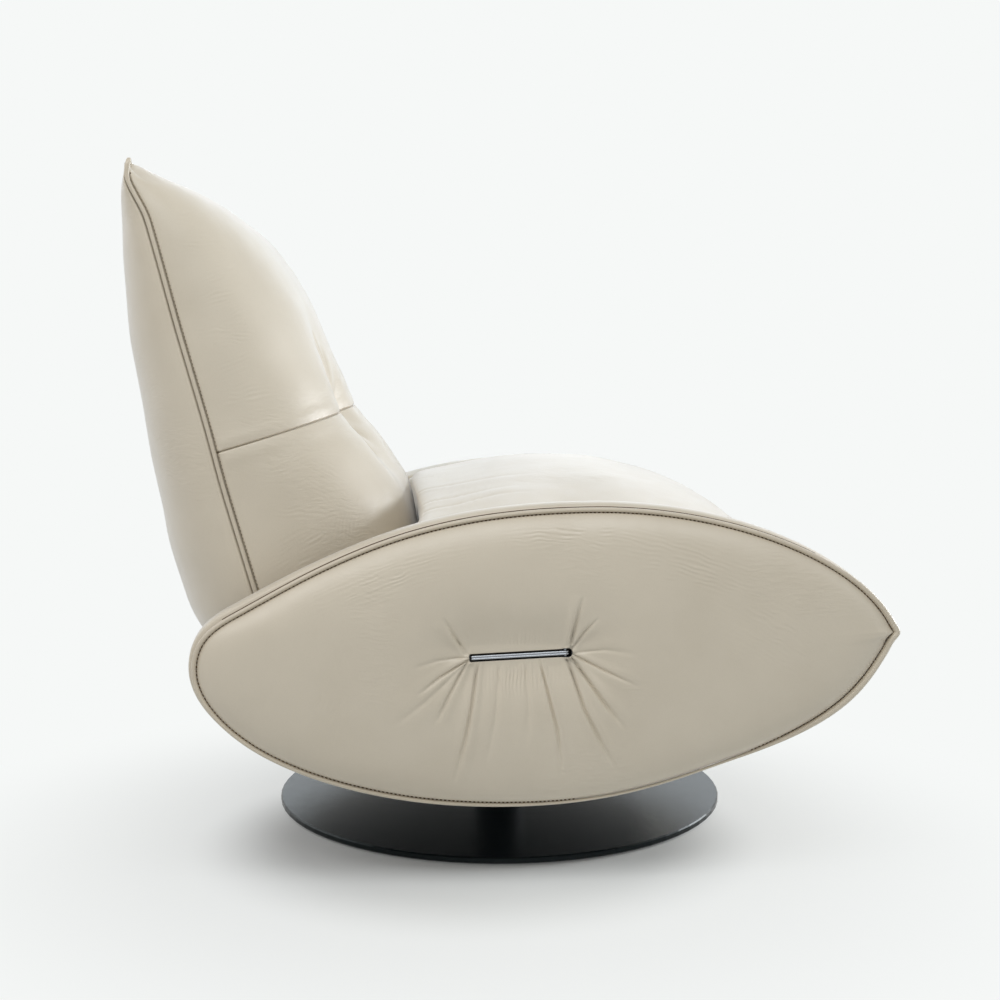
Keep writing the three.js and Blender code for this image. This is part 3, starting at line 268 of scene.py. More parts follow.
def side_outline(count):
    """Closed outline of an arm, half of its points on the underside and half on the top."""
    t = np.linspace(0, 1, 200)[:-1, None]
    curves = []
    for start, end in zip(ARM_KNOTS, ARM_KNOTS[1:] + ARM_KNOTS[:1]):
        a, d = np.array(start[0], float), np.array(end[0], float)
        b, c = reach(a, *start[2]), reach(d, *end[1])
        curves.append(a * (1 - t) ** 3 + 3 * b * t * (1 - t) ** 2 + 3 * c * t * t * (1 - t) + d * t ** 3)
    under = np.concatenate([*curves[:3], curves[3][:1]])
    over = np.concatenate([*curves[3:], curves[0][:1]])
    return np.concatenate([even(under, count // 2), even(over, count // 2)])


def inset(outline, distance):
    """The closed outline moved inwards by a distance, which may vary from point to point."""
    def inward(a, b):
        along = unit(b - a)
        return np.stack([-along[:, 1], along[:, 0]], axis=1)

    first = inward(np.roll(outline, 1, axis=0), outline)
    both = unit(first + inward(outline, np.roll(outline, -1, axis=0)))
    scale = np.asarray(distance) / np.sum(both * first, axis=1)
    return outline + both * scale[:, None]


def softened(closed, width):
    """The closed outline with its corners rounded by a running mean of a width in points."""
    if width <= 0:
        return closed
    wave = np.fft.fftfreq(len(closed))[:, None]
    blur = np.exp(-2 * (math.pi * wave * width) ** 2)
    return np.fft.ifft(np.fft.fft(closed, axis=0) * blur, axis=0).real


def smooth_knots(knots, at):
    """Values of a smooth curve through knots, without overshoot."""
    x, y = (np.array(v, float) for v in zip(*knots))
    h = np.diff(x)
    d = np.diff(y) / h
    m = np.zeros_like(y)
    m[1:-1] = np.where(d[:-1] * d[1:] > 0, 2 * d[:-1] * d[1:] / (d[:-1] + d[1:] + 1e-12), 0)
    m[0], m[-1] = d[0], d[-1]
    at = np.clip(at, x[0], x[-1])
    i = np.clip(np.searchsorted(x, at) - 1, 0, len(h) - 1)
    t = (at - x[i]) / h[i]
    return (
        y[i] * (1 + 2 * t) * (1 - t) ** 2 + m[i] * h[i] * t * (1 - t) ** 2
        + y[i + 1] * smoothstep(t) + m[i + 1] * h[i] * t * t * (t - 1)
    )


def smoother_knots(knots, at, width):
    """The curve through the knots after a running mean, so that no knot shows."""
    dense = np.arange(knots[0][0], knots[-1][0] + 0.5)
    pad = int(3 * width)
    value = smooth_knots(knots, dense)
    before = value[0] - (value[1] - value[0]) * np.arange(pad, 0, -1)
    after = value[-1] + (value[-1] - value[-2]) * np.arange(1, pad + 1)
    kernel = bell(np.arange(-pad, pad + 1), width)
    value = np.convolve(np.concatenate([before, value, after]), kernel / kernel.sum(), "valid")
    return np.interp(at, dense, value)


def hashed(ix, iy, seed):
    value = np.sin(ix * 127.1 + iy * 311.7 + seed * 74.7) * 43758.5453
    return value - np.floor(value)


def noise(x, y, seed):
    """Smooth value noise from -1 to 1."""
    ix, iy = np.floor(x), np.floor(y)
    fx, fy = smoothstep(x - ix), smoothstep(y - iy)
    low = hashed(ix, iy, seed) * (1 - fx) + hashed(ix + 1, iy, seed) * fx
    high = hashed(ix, iy + 1, seed) * (1 - fx) + hashed(ix + 1, iy + 1, seed) * fx
    return 2 * (low * (1 - fy) + high * fy) - 1


def crease_patch(x, y, cx, cy, rx, ry, angle, pitch, height, seed):
    """A patch of fine parallel wrinkles, round a centre, along an angle."""
    a = math.radians(angle)
    u = (x - cx) * math.cos(a) + (y - cy) * math.sin(a)
    v = -(x - cx) * math.sin(a) + (y - cy) * math.cos(a)
    bend = 2.2 * noise(u / 14, v / 9, seed) + 0.004 * u * u / max(pitch, 1)
    ripple = np.sin(FULL_TURN * (v + bend) / pitch)
    broken = np.clip(0.5 + 0.9 * noise(u / 11, v / pitch, seed + 3), 0, 1)
    return height * ripple * broken * np.exp(-((u / rx) ** 2) - ((v / ry) ** 2))


def fold(x, y, path, height, width, grow, one_sided=0.0):
    """A sewn-in fold along a path: a narrow valley between two soft ridges, fading to its far end."""
    path = np.array(path, float)
    step = steps_of(path)
    best, share, side, done = math.inf, 0.0, 0.0, 0.0
    for k in range(len(step)):
        a = path[k]
        ab = (path[k + 1] - a) / step[k]
        t = (x - a[0]) * ab[0] + (y - a[1]) * ab[1]
        inside = np.clip(t, 0 if k else -6, step[k])
        px, py = a[0] + ab[0] * inside, a[1] + ab[1] * inside
        gap = np.hypot(x - px, y - py)
        closer = gap < best
        best = np.where(closer, gap, best)
        share = np.where(closer, (done + inside) / step.sum(), share)
        side = np.where(closer, np.sign(ab[0] * (y - py) - ab[1] * (x - px)), side)
        done += step[k]
    share = np.clip(share, 0, 1)
    w = width * (1 + grow * share)
    signed = best * side
    valley = -1.2 * bell(signed, 0.62 * w)
    ridge = 0.75 * bell(signed - 2.1 * w, 1.9 * w) + (0.75 - one_sided) * bell(signed + 2.1 * w, 1.9 * w)
    return height * (1 - share ** 3.2) * (valley + ridge)


# Meshes

def placed(name, data):
    obj = bpy.data.objects.new(name, data)
    bpy.context.scene.collection.objects.link(obj)
    return obj


def piece(name, points, faces, material, body, replaces=()):
    mesh = bpy.data.meshes.new(name)
    mesh.from_pydata((np.asarray(points) * MM).tolist(), [], faces)
    mesh.validate()
    mesh.materials.append(material)
    mesh.polygons.foreach_set("use_smooth", [True] * len(mesh.polygons))
    mesh.update()
    obj = placed(name, mesh)
    if body:
        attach(obj, body)
    if replaces:
        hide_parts(*replaces)
    return obj


def ring_faces(rows, columns, offset=0, closed=False):
    """Quads between the rings of a stack, and from its last ring to its first if it is closed."""
    faces = []
    for r in range(rows if closed else rows - 1):
        here = offset + r * columns
        there = offset + (r + 1) % rows * columns
        for c in range(columns):
            d = (c + 1) % columns
            faces.append((here + c, here + d, there + d, there + c))
    return faces


def closed_grid(rings, flip=False):
    """Points and faces of a body through closed rings, with a fan at each end."""
    rings = np.asarray(rings)
    rows, columns = rings.shape[:2]
    faces = ring_faces(rows, columns)
    hub = rows * columns
    top = hub - columns
    for c in range(columns):
        d = (c + 1) % columns
        faces += [(hub, d, c), (hub + 1, top + c, top + d)]
    if flip:
        faces = [face[::-1] for face in faces]
    return np.concatenate([rings.reshape(-1, 3), rings[[0, -1]].mean(axis=1)]), faces


def tube_piece(name, path, radius, sides, material, body, replaces=(),
               closed=False, squash=1.0, over=(0.0, 1.0, 0.0)):
    """A tube along a path, whose radius may vary; squash flattens it along the direction over."""
    if closed:
        along = unit(np.roll(path, -1, axis=0) - np.roll(path, 1, axis=0))
    else:
        along = unit(np.gradient(path, axis=0))
    over = np.tile(over, (len(path), 1))
    over = unit(over - along * np.sum(over * along, axis=1)[:, None])
    across = np.cross(over, along)
    radius = np.broadcast_to(radius, (len(path),))[:, None, None]
    angle = FULL_TURN * np.arange(sides)[:, None] / sides
    round_it = across[:, None] * np.cos(angle) + squash * over[:, None] * np.sin(angle)
    rings = path[:, None] + radius * round_it
    if closed:
        points, faces = rings.reshape(-1, 3), ring_faces(len(path), sides, closed=True)
    else:
        points, faces = closed_grid(rings)
    return piece(name, points, faces, material, body, replaces)


def cushion_piece(name, outside, inside, count, body, nodes, flip=False):
    """A padded body between two grids of points, of which the inner one is made sparser."""
    take = np.linspace(outside.shape[1] - 1, 0, count).astype(int)
    points, faces = closed_grid(np.concatenate([outside, inside[:, take]], axis=1), flip)
    piece(name, points, faces, LEATHER, body, nodes)


def stitch_piece(name, places, directions, normals, length, radius, material, body):
    """A row of thread stitches: short rounded capsules that dip at both ends."""
    sides, rings = 6, 5
    points, faces = [], []
    turn = FULL_TURN * np.arange(sides) / sides
    for place, along, out in zip(places, directions, normals):
        side = np.cross(along, out)
        start = len(points)
        for share in np.linspace(-1, 1, rings):
            thick = radius * math.sqrt(max(1 - abs(share) ** 3, 0.08))
            middle = place + along * (share * length / 2) - out * (0.9 * radius * share * share)
            for t in turn:
                points.append(middle + side * (thick * math.cos(t)) + out * (thick * math.sin(t)))
        faces += ring_faces(rings, sides, offset=start)
        faces.append(tuple(start + c for c in range(sides))[::-1])
        faces.append(tuple(start + (rings - 1) * sides + c for c in range(sides)))
    return piece(name, points, faces, material, body)


# Materials

def empty_tree(owner):
    owner.use_nodes = True
    owner.node_tree.nodes.clear()
    return owner.node_tree


def add(tree, kind, sockets={}, **settings):
    """A new node with its own settings; each socket is linked to an output or set to a value."""
    node = tree.nodes.new("ShaderNode" + kind)
    for key, value in settings.items():
        setattr(node, key, value)
    for key, value in sockets.items():
        if hasattr(value, "is_output"):
            tree.links.new(value, node.inputs[key])
        else:
            node.inputs[key].default_value = value
    return node


def new_material(name):
    material = bpy.data.materials.new(name)
    tree = empty_tree(material)
    return material, tree, add(tree, "TexCoord").outputs["Object"]


def principled(material, tree, sockets):
    shader = add(tree, "BsdfPrincipled", sockets)
    add(tree, "OutputMaterial", {"Surface": shader.outputs["BSDF"]})
    return material


def grain(tree, coords, scale, detail, **more):
    return add(tree, "TexNoise", {"Vector": coords, "Scale": scale, "Detail": detail, **more}).outputs["Fac"]


def ramp(tree, value, stops):
    node = add(tree, "ValToRGB", {"Fac": value})
    elements = node.color_ramp.elements
    while len(elements) < len(stops):
        elements.new(0.5)
    for element, (at, colour) in zip(elements, stops):
        element.position = at
        element.color = (*colour, 1)
    return node.outputs["Color"]


def greys(tree, value, low, high):
    return ramp(tree, value, [(0.3, (low, low, low)), (0.7, (high, high, high))])


def math_node(tree, operation, a, b):
    return add(tree, "Math", {0: a, 1: b}, operation=operation).outputs[0]


def bump(tree, height, strength, distance, **normal):
    sockets = {"Strength": strength, "Distance": distance, "Height": height, **normal}
    return add(tree, "Bump", sockets).outputs[0]


def stretched(tree, coords, scale, rotation=(0, 0, 0)):
    return add(tree, "Mapping", {"Vector": coords, "Scale": scale, "Rotation": rotation}).outputs[0]


def linear(red, green, blue):
    def one(value):
        value /= 255
        return value / 12.92 if value <= 0.04045 else ((value + 0.055) / 1.055) ** 2.4
    return one(red), one(green), one(blue)


def leather(name, colour, creases=1.0, shine=1.0):
    """Soft top-grain leather: fine pebble, faint cloudiness and pull-up wrinkles in patches."""
    material, tree, coords = new_material(name)
    r, g, b = linear(*colour)
    shade = ramp(tree, grain(tree, coords, 9, 4, Roughness=0.55), [
        (0.3, (r * 0.955, g * 0.95, b * 0.94)), (0.55, (r, g, b)), (0.75, (r * 1.03, g * 1.03, b * 1.03))])
    pores = add(tree, "TexVoronoi", {"Vector": coords, "Scale": 850}, feature="DISTANCE_TO_EDGE")
    pores = pores.outputs["Distance"]
    pore_shade = ramp(tree, pores, [(0.0, (0.93, 0.925, 0.915)), (0.12, (1, 1, 1))])
    mix = add(tree, "Mix", {"Factor": 0.6, 6: shade, 7: pore_shade}, data_type="RGBA", blend_type="MULTIPLY")
    rough = greys(tree, grain(tree, coords, 60, 3), 0.43, 0.54)
    warp = add(tree, "TexNoise", {"Vector": coords, "Scale": 26, "Detail": 2}).outputs["Color"]
    wander = add(tree, "VectorMath", {0: warp, 1: (0.018, 0.018, 0.018), 2: coords}, operation="MULTIPLY_ADD")
    lines = stretched(tree, wander.outputs[0], (1, 1, 4.5), (0.5, 0.35, 0.2))
    wrinkle = grain(tree, lines, 62, 2, Roughness=0.4)
    mask = ramp(tree, grain(tree, coords, 7, 1), [(0.52, (0, 0, 0)), (0.66, (1, 1, 1))])
    normal = bump(tree, math_node(tree, "MULTIPLY", wrinkle, mask), 0.30 * creases, 0.0022)
    normal = bump(tree, pores, 0.22, 0.00025, Normal=normal)
    normal = bump(tree, grain(tree, coords, 420, 3), 0.12, 0.0004, Normal=normal)
    return principled(material, tree, {
        "Base Color": mix.outputs[2], "Roughness": rough, "Normal": normal,
        "Specular IOR Level": 0.75 * shine, "Sheen Weight": 0.7 * shine, "Sheen Roughness": 0.35,
        "Coat Weight": 0.3 * shine, "Coat Roughness": 0.34,
    })


def metal(name, colour, roughness, metallic=0.0, brushed=0.0, specular=0.5, tint=(1, 1, 1)):
    """Painted or bare metal, plastic or rubber, with faint dirt and a fine or brushed surface."""
    material, tree, coords = new_material(name)
    r, g, b = linear(*colour)
    shade = ramp(tree, grain(tree, coords, 30, 5), [
        (0.3, (r * 0.9, g * 0.9, b * 0.9)), (0.7, (r * 1.06, g * 1.06, b * 1.06))])
    rough = greys(tree, grain(tree, coords, 140, 4), roughness * 0.92, roughness * 1.08)
    if brushed:
        fine = grain(tree, stretched(tree, coords, (0.04, 1, 1)), 900, 3)
    else:
        fine = grain(tree, coords, 500, 3)
    return principled(material, tree, {
        "Base Color": shade, "Roughness": rough, "Normal": bump(tree, fine, brushed or 0.05, 0.0002),
        "Metallic": metallic, "Specular IOR Level": specular, "Specular Tint": (*tint, 1),
    })


def plywood(name):
    material, tree, coords = new_material(name)
    rings = grain(tree, stretched(tree, coords, (1, 9, 9)), 14, 6, Distortion=0.6)
    shade = ramp(tree, rings, [
        (0.3, linear(176, 140, 96)), (0.55, linear(203, 170, 122)), (0.75, linear(214, 186, 142))])
    normal = bump(tree, rings, 0.2, 0.0006)
    return principled(material, tree, {"Base Color": shade, "Roughness": 0.7, "Normal": normal})


def cloth(name):
    """Black non-woven dust cover with a fine cross weave."""
    material, tree, coords = new_material(name)
    waves = {"Vector": coords, "Scale": 520, "Distortion": 1.5}
    across, along = (add(tree, "TexWave", waves, bands_direction=axis).outputs["Fac"] for axis in "XY")
    weave = math_node(tree, "MULTIPLY", across, along)
    shade = ramp(tree, weave, [(0.1, linear(28, 27, 26)), (0.8, linear(52, 50, 48))])
    normal = bump(tree, weave, 0.5, 0.0006)
    return principled(material, tree, {"Base Color": shade, "Roughness": 0.92, "Normal": normal})


LEATHER = leather("leather_soft", (210, 200, 181))
WELT = leather("leather_welt", (205, 194, 174), creases=0.3)
THREAD = leather("thread_brown", (98, 78, 54), creases=0.0, shine=0.25)
BLACK_STEEL = metal("black_lacquer_steel", (18, 23, 25), 0.24, specular=0.27, tint=(0.84, 0.97, 1.0))
COLUMN_STEEL = metal("black_column_steel", (16, 18, 19), 0.5, specular=0.3)
RAW_STEEL = metal("black_powder_steel", (34, 35, 37), 0.5)
ZINC = metal("zinc_steel", (176, 180, 184), 0.34, metallic=1.0)
SPRING = metal("spring_steel", (150, 152, 155), 0.3, metallic=1.0)
CHROME = metal("polished_bar", (160, 163, 168), 0.16, metallic=1.0, brushed=0.12)
PLASTIC = metal("black_plastic", (20, 20, 21), 0.38)
RUBBER = metal("black_rubber", (24, 24, 24), 0.8)
PLY = plywood("plywood_board")
CLOTH = cloth("dust_cloth")

# Finish of the CAD nodes by how their names start; all others are powder-coated steel
FINISHES = [
    (RUBBER, ("floor_pad", "release_cable")), (BLACK_STEEL, ("base_plate",)),
    (COLUMN_STEEL, ("pedestal_column",)), (SPRING, ("rocker_spring",)),
    (ZINC, ("bearing", "swivel_spindle", "rocker_shaft", "shaft_collar", "recline_pin", "footrest_pin")),
    (ZINC, ("lever_pin",)), (CHROME, ("lever_bar", "gas_rod")),
    (PLASTIC, ("glide_ring", "rocker_bush", "lever_housing")), (PLY, ("seat_deck", "arm_board")),
    (CLOTH, ("footrest_board", "back_frame", "underside_shell")),
]
for name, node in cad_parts.items():
    finish = next((finish for finish, starts in FINISHES if name.startswith(starts)), RAW_STEEL)
    if not node.data.materials:
        node.data.materials.append(finish)
    for i in range(len(node.data.materials)):
        node.data.materials[i] = finish


# Arms

AROUND = 1100
outline = side_outline(AROUND)
over_half = np.arange(AROUND) >= AROUND // 2


def round_values(under, over):
    """Values round an arm's outline from knots over x for its underside and its top."""
    x = outline[:, 0]
    value = np.where(over_half, np.interp(x, *zip(*over)), np.interp(x, *zip(*under)))
    return softened(value[:, None], AROUND / 180)[:, 0]


round_arm = [round_values(under, over) for under, over in ROUND_ARM.values()]
# the tip is a blunt nub with a nick under it
spacing = steps_of(outline).mean()
past_tip = (np.arange(AROUND) - AROUND // 2) * spacing
blunt = bell(past_tip, 11)[:, None]
outline = outline * (1 - blunt) + softened(outline, 4 / spacing) * blunt
outline = inset(outline, 1.4 * bell(past_tip + 13, 5) - 2.6 * bell(past_tip - 1, 7))


def slot_outline(half_height, front_swell):
    """Outline of the lever's slot, point by point opposite the arm's outline."""
    half = LEVER["half"] + LEVER["gap"] - (SLOT_HALF - half_height) * 0.6
    end = half_height + front_swell
    turn = math.pi + np.linspace(0, math.pi / 2, 24)
    share = np.linspace(0, 1, 20)[1:]
    # the lower side, from the rear corner to where the slot swells into a half circle
    corner = (SLOT_CORNER - half, SLOT_CORNER - half_height)
    lower = np.concatenate([
        corner + SLOT_CORNER * circle(turn),
        np.linspace((corner[0], -half_height), (half - 3 * end, -half_height), 60),
        np.stack([half + end * (2 * share - 3), -half_height - front_swell * smoothstep(share)], axis=1),
    ])
    turn = np.linspace(-math.pi / 2, math.pi / 2, 60)[1:]
    front = (half - end, 0) + end * circle(turn)
    path = np.concatenate([lower, front, lower[::-1] * (1, -1)])
    middle = (LEVER["x"], LEVER["z"])
    angle = math.radians(LEVER["tilt"])
    turned = np.array([[math.cos(angle), math.sin(angle)], [-math.sin(angle), math.cos(angle)]])
    local = (outline - middle) @ turned.T / (half + 22, half_height + 22)
    bearing = np.unwrap(np.arctan2(path[:, 1] / half_height, path[:, 0] / half))
    wanted = np.mod(np.arctan2(local[:, 1], local[:, 0]) - bearing[0], FULL_TURN) + bearing[0]
    flat = np.stack([np.interp(wanted, bearing, path[:, k], period=FULL_TURN) for k in range(2)], axis=1)
    return middle + flat @ turned


def face_relief(x, z, right):
    """Height of wrinkles and folds on an arm's face."""
    relief = 0.5 * noise(x / 90, z / 70, 5) + 0.22 * noise(x / 34, z / 30, 8)
    for patch in ARM_CREASES:
        relief += crease_patch(x, z, *patch)
    if right:
        for path, height, width, lopsided in PUCKERS:
            relief += fold(x, z, path, PUCKER_GAIN * height, width, 1.3, lopsided)
        # fine gathers under and over the lever
        ripple = np.sin(FULL_TURN * (x + 1.6 * noise(x / 9, z / 16, 21)) / 4.3)
        relief += 0.4 * ripple * bell(z - 249, 13) * bell(x + 4, 46) * (z < 266)
        ripple = np.sin(FULL_TURN * (x + noise(x / 8, z / 12, 31)) / 4.0)
        relief += 0.16 * ripple * bell(z - 292, 10) * bell(x, 48)
    return relief


def lever_dip(x, z):
    """Depth by which the leather is drawn in round the lever."""
    along = np.maximum(np.abs(x - LEVER["x"]) - LEVER["half"], 0)
    return LEVER["dip"] * np.exp(-((along ** 2 + (z - LEVER["z"]) ** 2) / LEVER["reach"] ** 2))


def arm_cover(side, sign):
    """One arm: its cover, welt, a closing seam drawn dark as a painted shadow line, and stitches; the sign is
    that of its y.
    """
    right = side == "right"
    step = 1 if right else 2
    rim = outline[::step]
    lead, welt_r, proud = (values[::step] for values in round_arm)
    count = len(rim)
    seam = inset(rim, lead + 2 * welt_r - 0.3)
    if right:
        hole = slot_outline(LIP_HALF, LIP_SWELL)
    else:
        hole = (LEVER["x"] + 25, LEVER["z"]) + 0.004 * (rim - rim.mean(axis=0))
    rings = []

    def ring(flat, y):
        rings.append(in_space(flat, sign * y))

    # inner face and boxing, from the middle of the inside out to the welt
    edge, y = BOXING[0]
    for share in (0.05, 0.3, 0.6, 0.85):
        ring(ARM_MIDDLE + (inset(rim, edge) - ARM_MIDDLE) * share, ARM_INNER + y)
    bulge = REAR_BULGE["height"] * bell(size(rim - REAR_BULGE["place"]), REAR_BULGE["reach"])
    for edge, y in BOXING:
        ring(inset(rim, edge - bulge * bell(y - 24, 16) - proud * bell(y - 31, 13)), ARM_INNER + y)
    # under the welt, then up out of the seam on to the face
    ring(inset(rim, lead + 1.6), WELT_PLANE - 4.9)
    ring(inset(rim, lead + np.minimum(welt_r + 1.8, 2 * welt_r - 0.9)), WELT_PLANE - 4.2)
    ring(inset(rim, lead + 2 * welt_r - 0.9), WELT_PLANE - 3.2)
    face_start = len(rings)
    rim_plane = WELT_PLANE + LEVER["proud"]
    rows = 190 if right else 110
    for r in range(rows + 1):
        share = 1 - (r / rows) ** 1.7
        flat = hole + (softened(seam, 60 / step * (1 - share) ** 0.8) - hole) * share
        x, z = flat[:, 0], flat[:, 1]
        edge_gap = size(flat - seam)
        y = WELT_PLANE - 2.6 + FACE_SWELL * max(1 - share ** 2.4, 0) ** 0.65
        y = y + face_relief(x, z, right) * way(edge_gap, 0, 14)
        for height, width in ROLLS:
            y += height * (1 - np.exp(-edge_gap / width))
        if right:
            y -= lever_dip(x, z)
            # the lip stands just off the tray's rim
            if share < 0.12:
                y = np.maximum(y, rim_plane + LIP_PROUD)
        ring(flat, y)
    face = np.array(rings[face_start:])
    if right:
        # the leather turns in over the tray's rim
        turn_in = (
            (LIP_HALF - 0.15, LIP_SWELL, LIP_PROUD), (LIP_HALF, LIP_SWELL, 0.35),
            (SLOT_HALF, 0.0, 0.3), (SLOT_HALF, 0.0, -11.0))
        for half_height, swell, lift in turn_in:
            ring(slot_outline(half_height, swell), rim_plane + lift)
    points, faces = closed_grid(rings, flip=sign > 0)
    piece(f"arm_cover_{side}", points, faces, LEATHER, "seat",
          (f"arm_pad_{side}", f"arm_board_{side}"))
    path = in_space(softened(inset(rim, lead + welt_r), count / 400), sign * (WELT_PLANE + 0.4))
    tube_piece(f"arm_piping_{side}", path, welt_r, 14, WELT, "seat", (f"arm_welt_{side}",),
               closed=True, squash=1.2)
    # closing seam in the crease between the welt and the boxing, along the top: a real seam, drawn as a dark
    # thread-coloured tube that paints the crease's shadow line
    top = over_half[::step] & (np.abs(rim[:, 0]) < SHADOW_SEAM_END)
    path = in_space(inset(rim, lead + 0.1)[top], sign * (WELT_PLANE - 4.6))
    tube_piece(f"arm_shadow_seam_{side}", path, 0.55, 8, THREAD, "seat")
    # stitches on the panel's sewn edge, beside the welt
    spread = size(face[:30, :, [0, 2]] - seam)
    line = np.array([
        [np.interp(ARM_STITCH["aside"], spread[:, k], face[:30, k, axis]) for axis in range(3)]
        for k in range(count)])
    closed = np.concatenate([line, line[:1]])
    places = even(closed, int(steps_of(closed).sum() / ARM_STITCH["pitch"]))
    along = unit(np.roll(places, -1, axis=0) - np.roll(places, 1, axis=0))
    normals = unit(in_space(along[:, [2, 0]] * (0.45, -0.45), sign))
    # along the front of the underside the panel rolls over its stitches
    seen = (places[:, 2] > 200) | (places[:, 0] < 60) | (places[:, 0] > 262)
    stitch_piece(f"arm_stitches_{side}", (places + normals * 0.5)[seen], along[seen], normals[seen],
                 ARM_STITCH["length"], ARM_STITCH["radius"], THREAD, "seat")


arm_cover("right", -1)
arm_cover("left", 1)


# Back

LEAN = math.radians(BACK["lean"])
UP = np.array([-math.sin(LEAN), 0.0, math.cos(LEAN)])
OUT = np.array([math.cos(LEAN), 0.0, math.sin(LEAN)])


def back_point(s, y, t, half):
    """Points in space from height s, width y and depth t of the back's leaned frame."""
    rise = s - BACK["ear_dip"] * way(s, 0, BACK["height"]) ** 4 * (1 - np.clip(y / half, -1, 1) ** 2)
    x = BACK["foot"][0] + UP[0] * rise + OUT[0] * t
    z = BACK["foot"][1] + UP[2] * rise + OUT[2] * t
    return np.stack([x, y + np.zeros_like(x), z], axis=-1)


def back_half(s):
    return BACK["foot_half"] + (BACK["ear_half"] - BACK["foot_half"]) * way(s, 0, BACK["height"])


def edge_depth(s):
    return smoother_knots(WELT_BOW, s, 9.0)


def tufts(s, y):
    """Depth by which the two tufts draw the front in."""
    above = s - BACK["seam"]
    depth = np.zeros_like(s)
    for sign in (-1, 1):
        gap = y - sign * BACK["tuft_y"]
        depth += BACK["tuft"] * bell(gap, BACK["tuft_half"]) * bell(above, BACK["tuft_reach"])
        depth += 11 * bell(gap, 8) * bell(above, 10)
    return depth


def front_relief(s, y, t, aside):
    """Height of folds, wrinkles and the sewn channel on the front, along its surface's normal."""
    above = s - BACK["seam"]
    front = 1 - aside
    height = np.zeros_like(s)
    for sign in (-1, 1):
        gap = y - sign * BACK["tuft_y"]
        for lean, top, rise in TUFT_RISING:
            path = [(2 * lean, 6), (0.6 * lean * top, 0.55 * top), (lean * top, top)]
            height += fold(gap, above, path, rise, 2.6, 1.4) * front
        for lean, low, rise in TUFT_FALLING:
            height += fold(gap, above, [(0, -5), (lean * low, -low)], rise, 2.8, 1.4) * front
    height += 0.8 * bell(above - 10, 7) + 0.9 * bell(above + 11, 8)
    height += (0.8 * noise(y / 80, s / 70, 3) + 0.25 * noise(y / 30, s / 26, 4)) * front
    height += (0.7 * noise(t / 60, s / 70, 33) + 0.3 * noise(t / 24, s / 30, 34)) * aside
    for sign, seed in ((-1, 60), (1, 91)):
        edge = aside * (y * sign > 0)
        for k, patch in enumerate(BACK_CREASES):
            height += crease_patch(t, s, *patch, seed + k) * edge
    height += crease_patch(y, s, 40, 330, 60, 24, 15, 5.2, 0.3, 45) * front
    height += crease_patch(y, s, -30, 90, 60, 30, -12, 5.2, 0.3, 46) * front
    return height - 3.4 * bell(above, 0.85) - 0.5 * bell(above, 3)


def displaced(points, amount, outward):
    """The grid of points moved along its own normals, whose side is told by one outward direction."""
    normal = unit(np.cross(np.gradient(points, axis=0), np.gradient(points, axis=1)), 1e-9)
    middle = normal[normal.shape[0] // 2, normal.shape[1] // 2]
    return points + normal * (math.copysign(1.0, float(middle @ outward)) * amount)[:, :, None]


def back_grid(rows, columns, tight):
    """Heights, shares of the width, half widths and shares of the full depth on a face of the back."""
    # the rows lie closer together round the channel
    places = np.linspace(-BACK["below"], BACK["height"] - EDGE_ROOM, 4000)
    total = np.cumsum(1 + 7 * bell(places - BACK["seam"], tight))
    s = np.interp(np.linspace(total[0], total[-1], rows), total, places)
    a = -np.cos(np.linspace(0, math.pi, columns))
    S, A = np.meshgrid(s, np.sign(a) * np.abs(a) ** 0.9, indexing="ij")
    # the stuffing falls away at the two ears
    ear = 0.9 * way(S, BACK["height"] - 34, 30) ** 1.5 * way(np.abs(A), 0.86, 0.1) ** 2
    full = (1 - np.abs(A) ** BACK["square"]) ** BACK["round"] * (1 - ear)
    return S, A, back_half(S) - EDGE_ROOM, full


def back_front():
    S, A, half, full = back_grid(*(((420, 380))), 9)
    edge = edge_depth(S) + 1.6
    rise = (smoother_knots(FRONT_KNOTS, S, 7.0) - edge) * full
    Y = A * half
    T = np.maximum(edge + rise - tufts(S, Y) * way(rise, 0, 40), edge)
    Y -= np.sign(A) * DRAWN_IN * bell(T - edge, 2.4)
    front = back_point(S, Y, T, half)
    inland = np.clip(way(T - edge, 3, 8) + bell(S - BACK["seam"], 3), 0, 1)
    front = displaced(front, front_relief(S, Y, T, way(np.abs(A), 0.8, 0.12)) * inland, OUT)
    inner = way(half - np.abs(Y), 10, 20)
    flat = edge - 0.6 + (0.8 - edge) * inner * (edge < 0.2)
    rear = back_point(S, Y, np.minimum(flat, T - 0.3), half)
    cushion_piece("back_cushion", front, rear, 30, "back", ("back_cushion_lower", "back_cushion_upper"))


def back_rear():
    S, A, half, full = back_grid(*(((220, 240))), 400)
    edge = edge_depth(S) - 2.2
    Y = A * half
    T = edge + (np.minimum(-smoother_knots(REAR_KNOTS, S, 16.0), edge - 3) - edge) * full
    Y -= np.sign(A) * DRAWN_IN * bell(T - edge, 1.8)
    height = 0.9 * noise(Y / 110, S / 90, 9) + 0.3 * noise(Y / 34 + T / 30, S / 30, 6)
    for k, patch in enumerate(SHELL_CREASES):
        height += crease_patch(Y, S, *patch, 6.0, 0.3, 51 + k)
    height += crease_patch(T, S, -40, 150, 24, 60, 4, 5.0, 0.2, 58) * (np.abs(A) > 0.9)
    outer = displaced(back_point(S, Y, T, half), height * way(edge - T, 4, 10), -OUT)
    inner = way(half - np.abs(Y), 10, 20)
    flat = edge + 0.6 - (BACK["board"] + 0.9 + edge) * inner
    lining = back_point(S, Y, np.maximum(flat, T + 0.3), half)
    cushion_piece("back_outer_shell", outer, lining, 24, "back", ("back_shell",), flip=True)


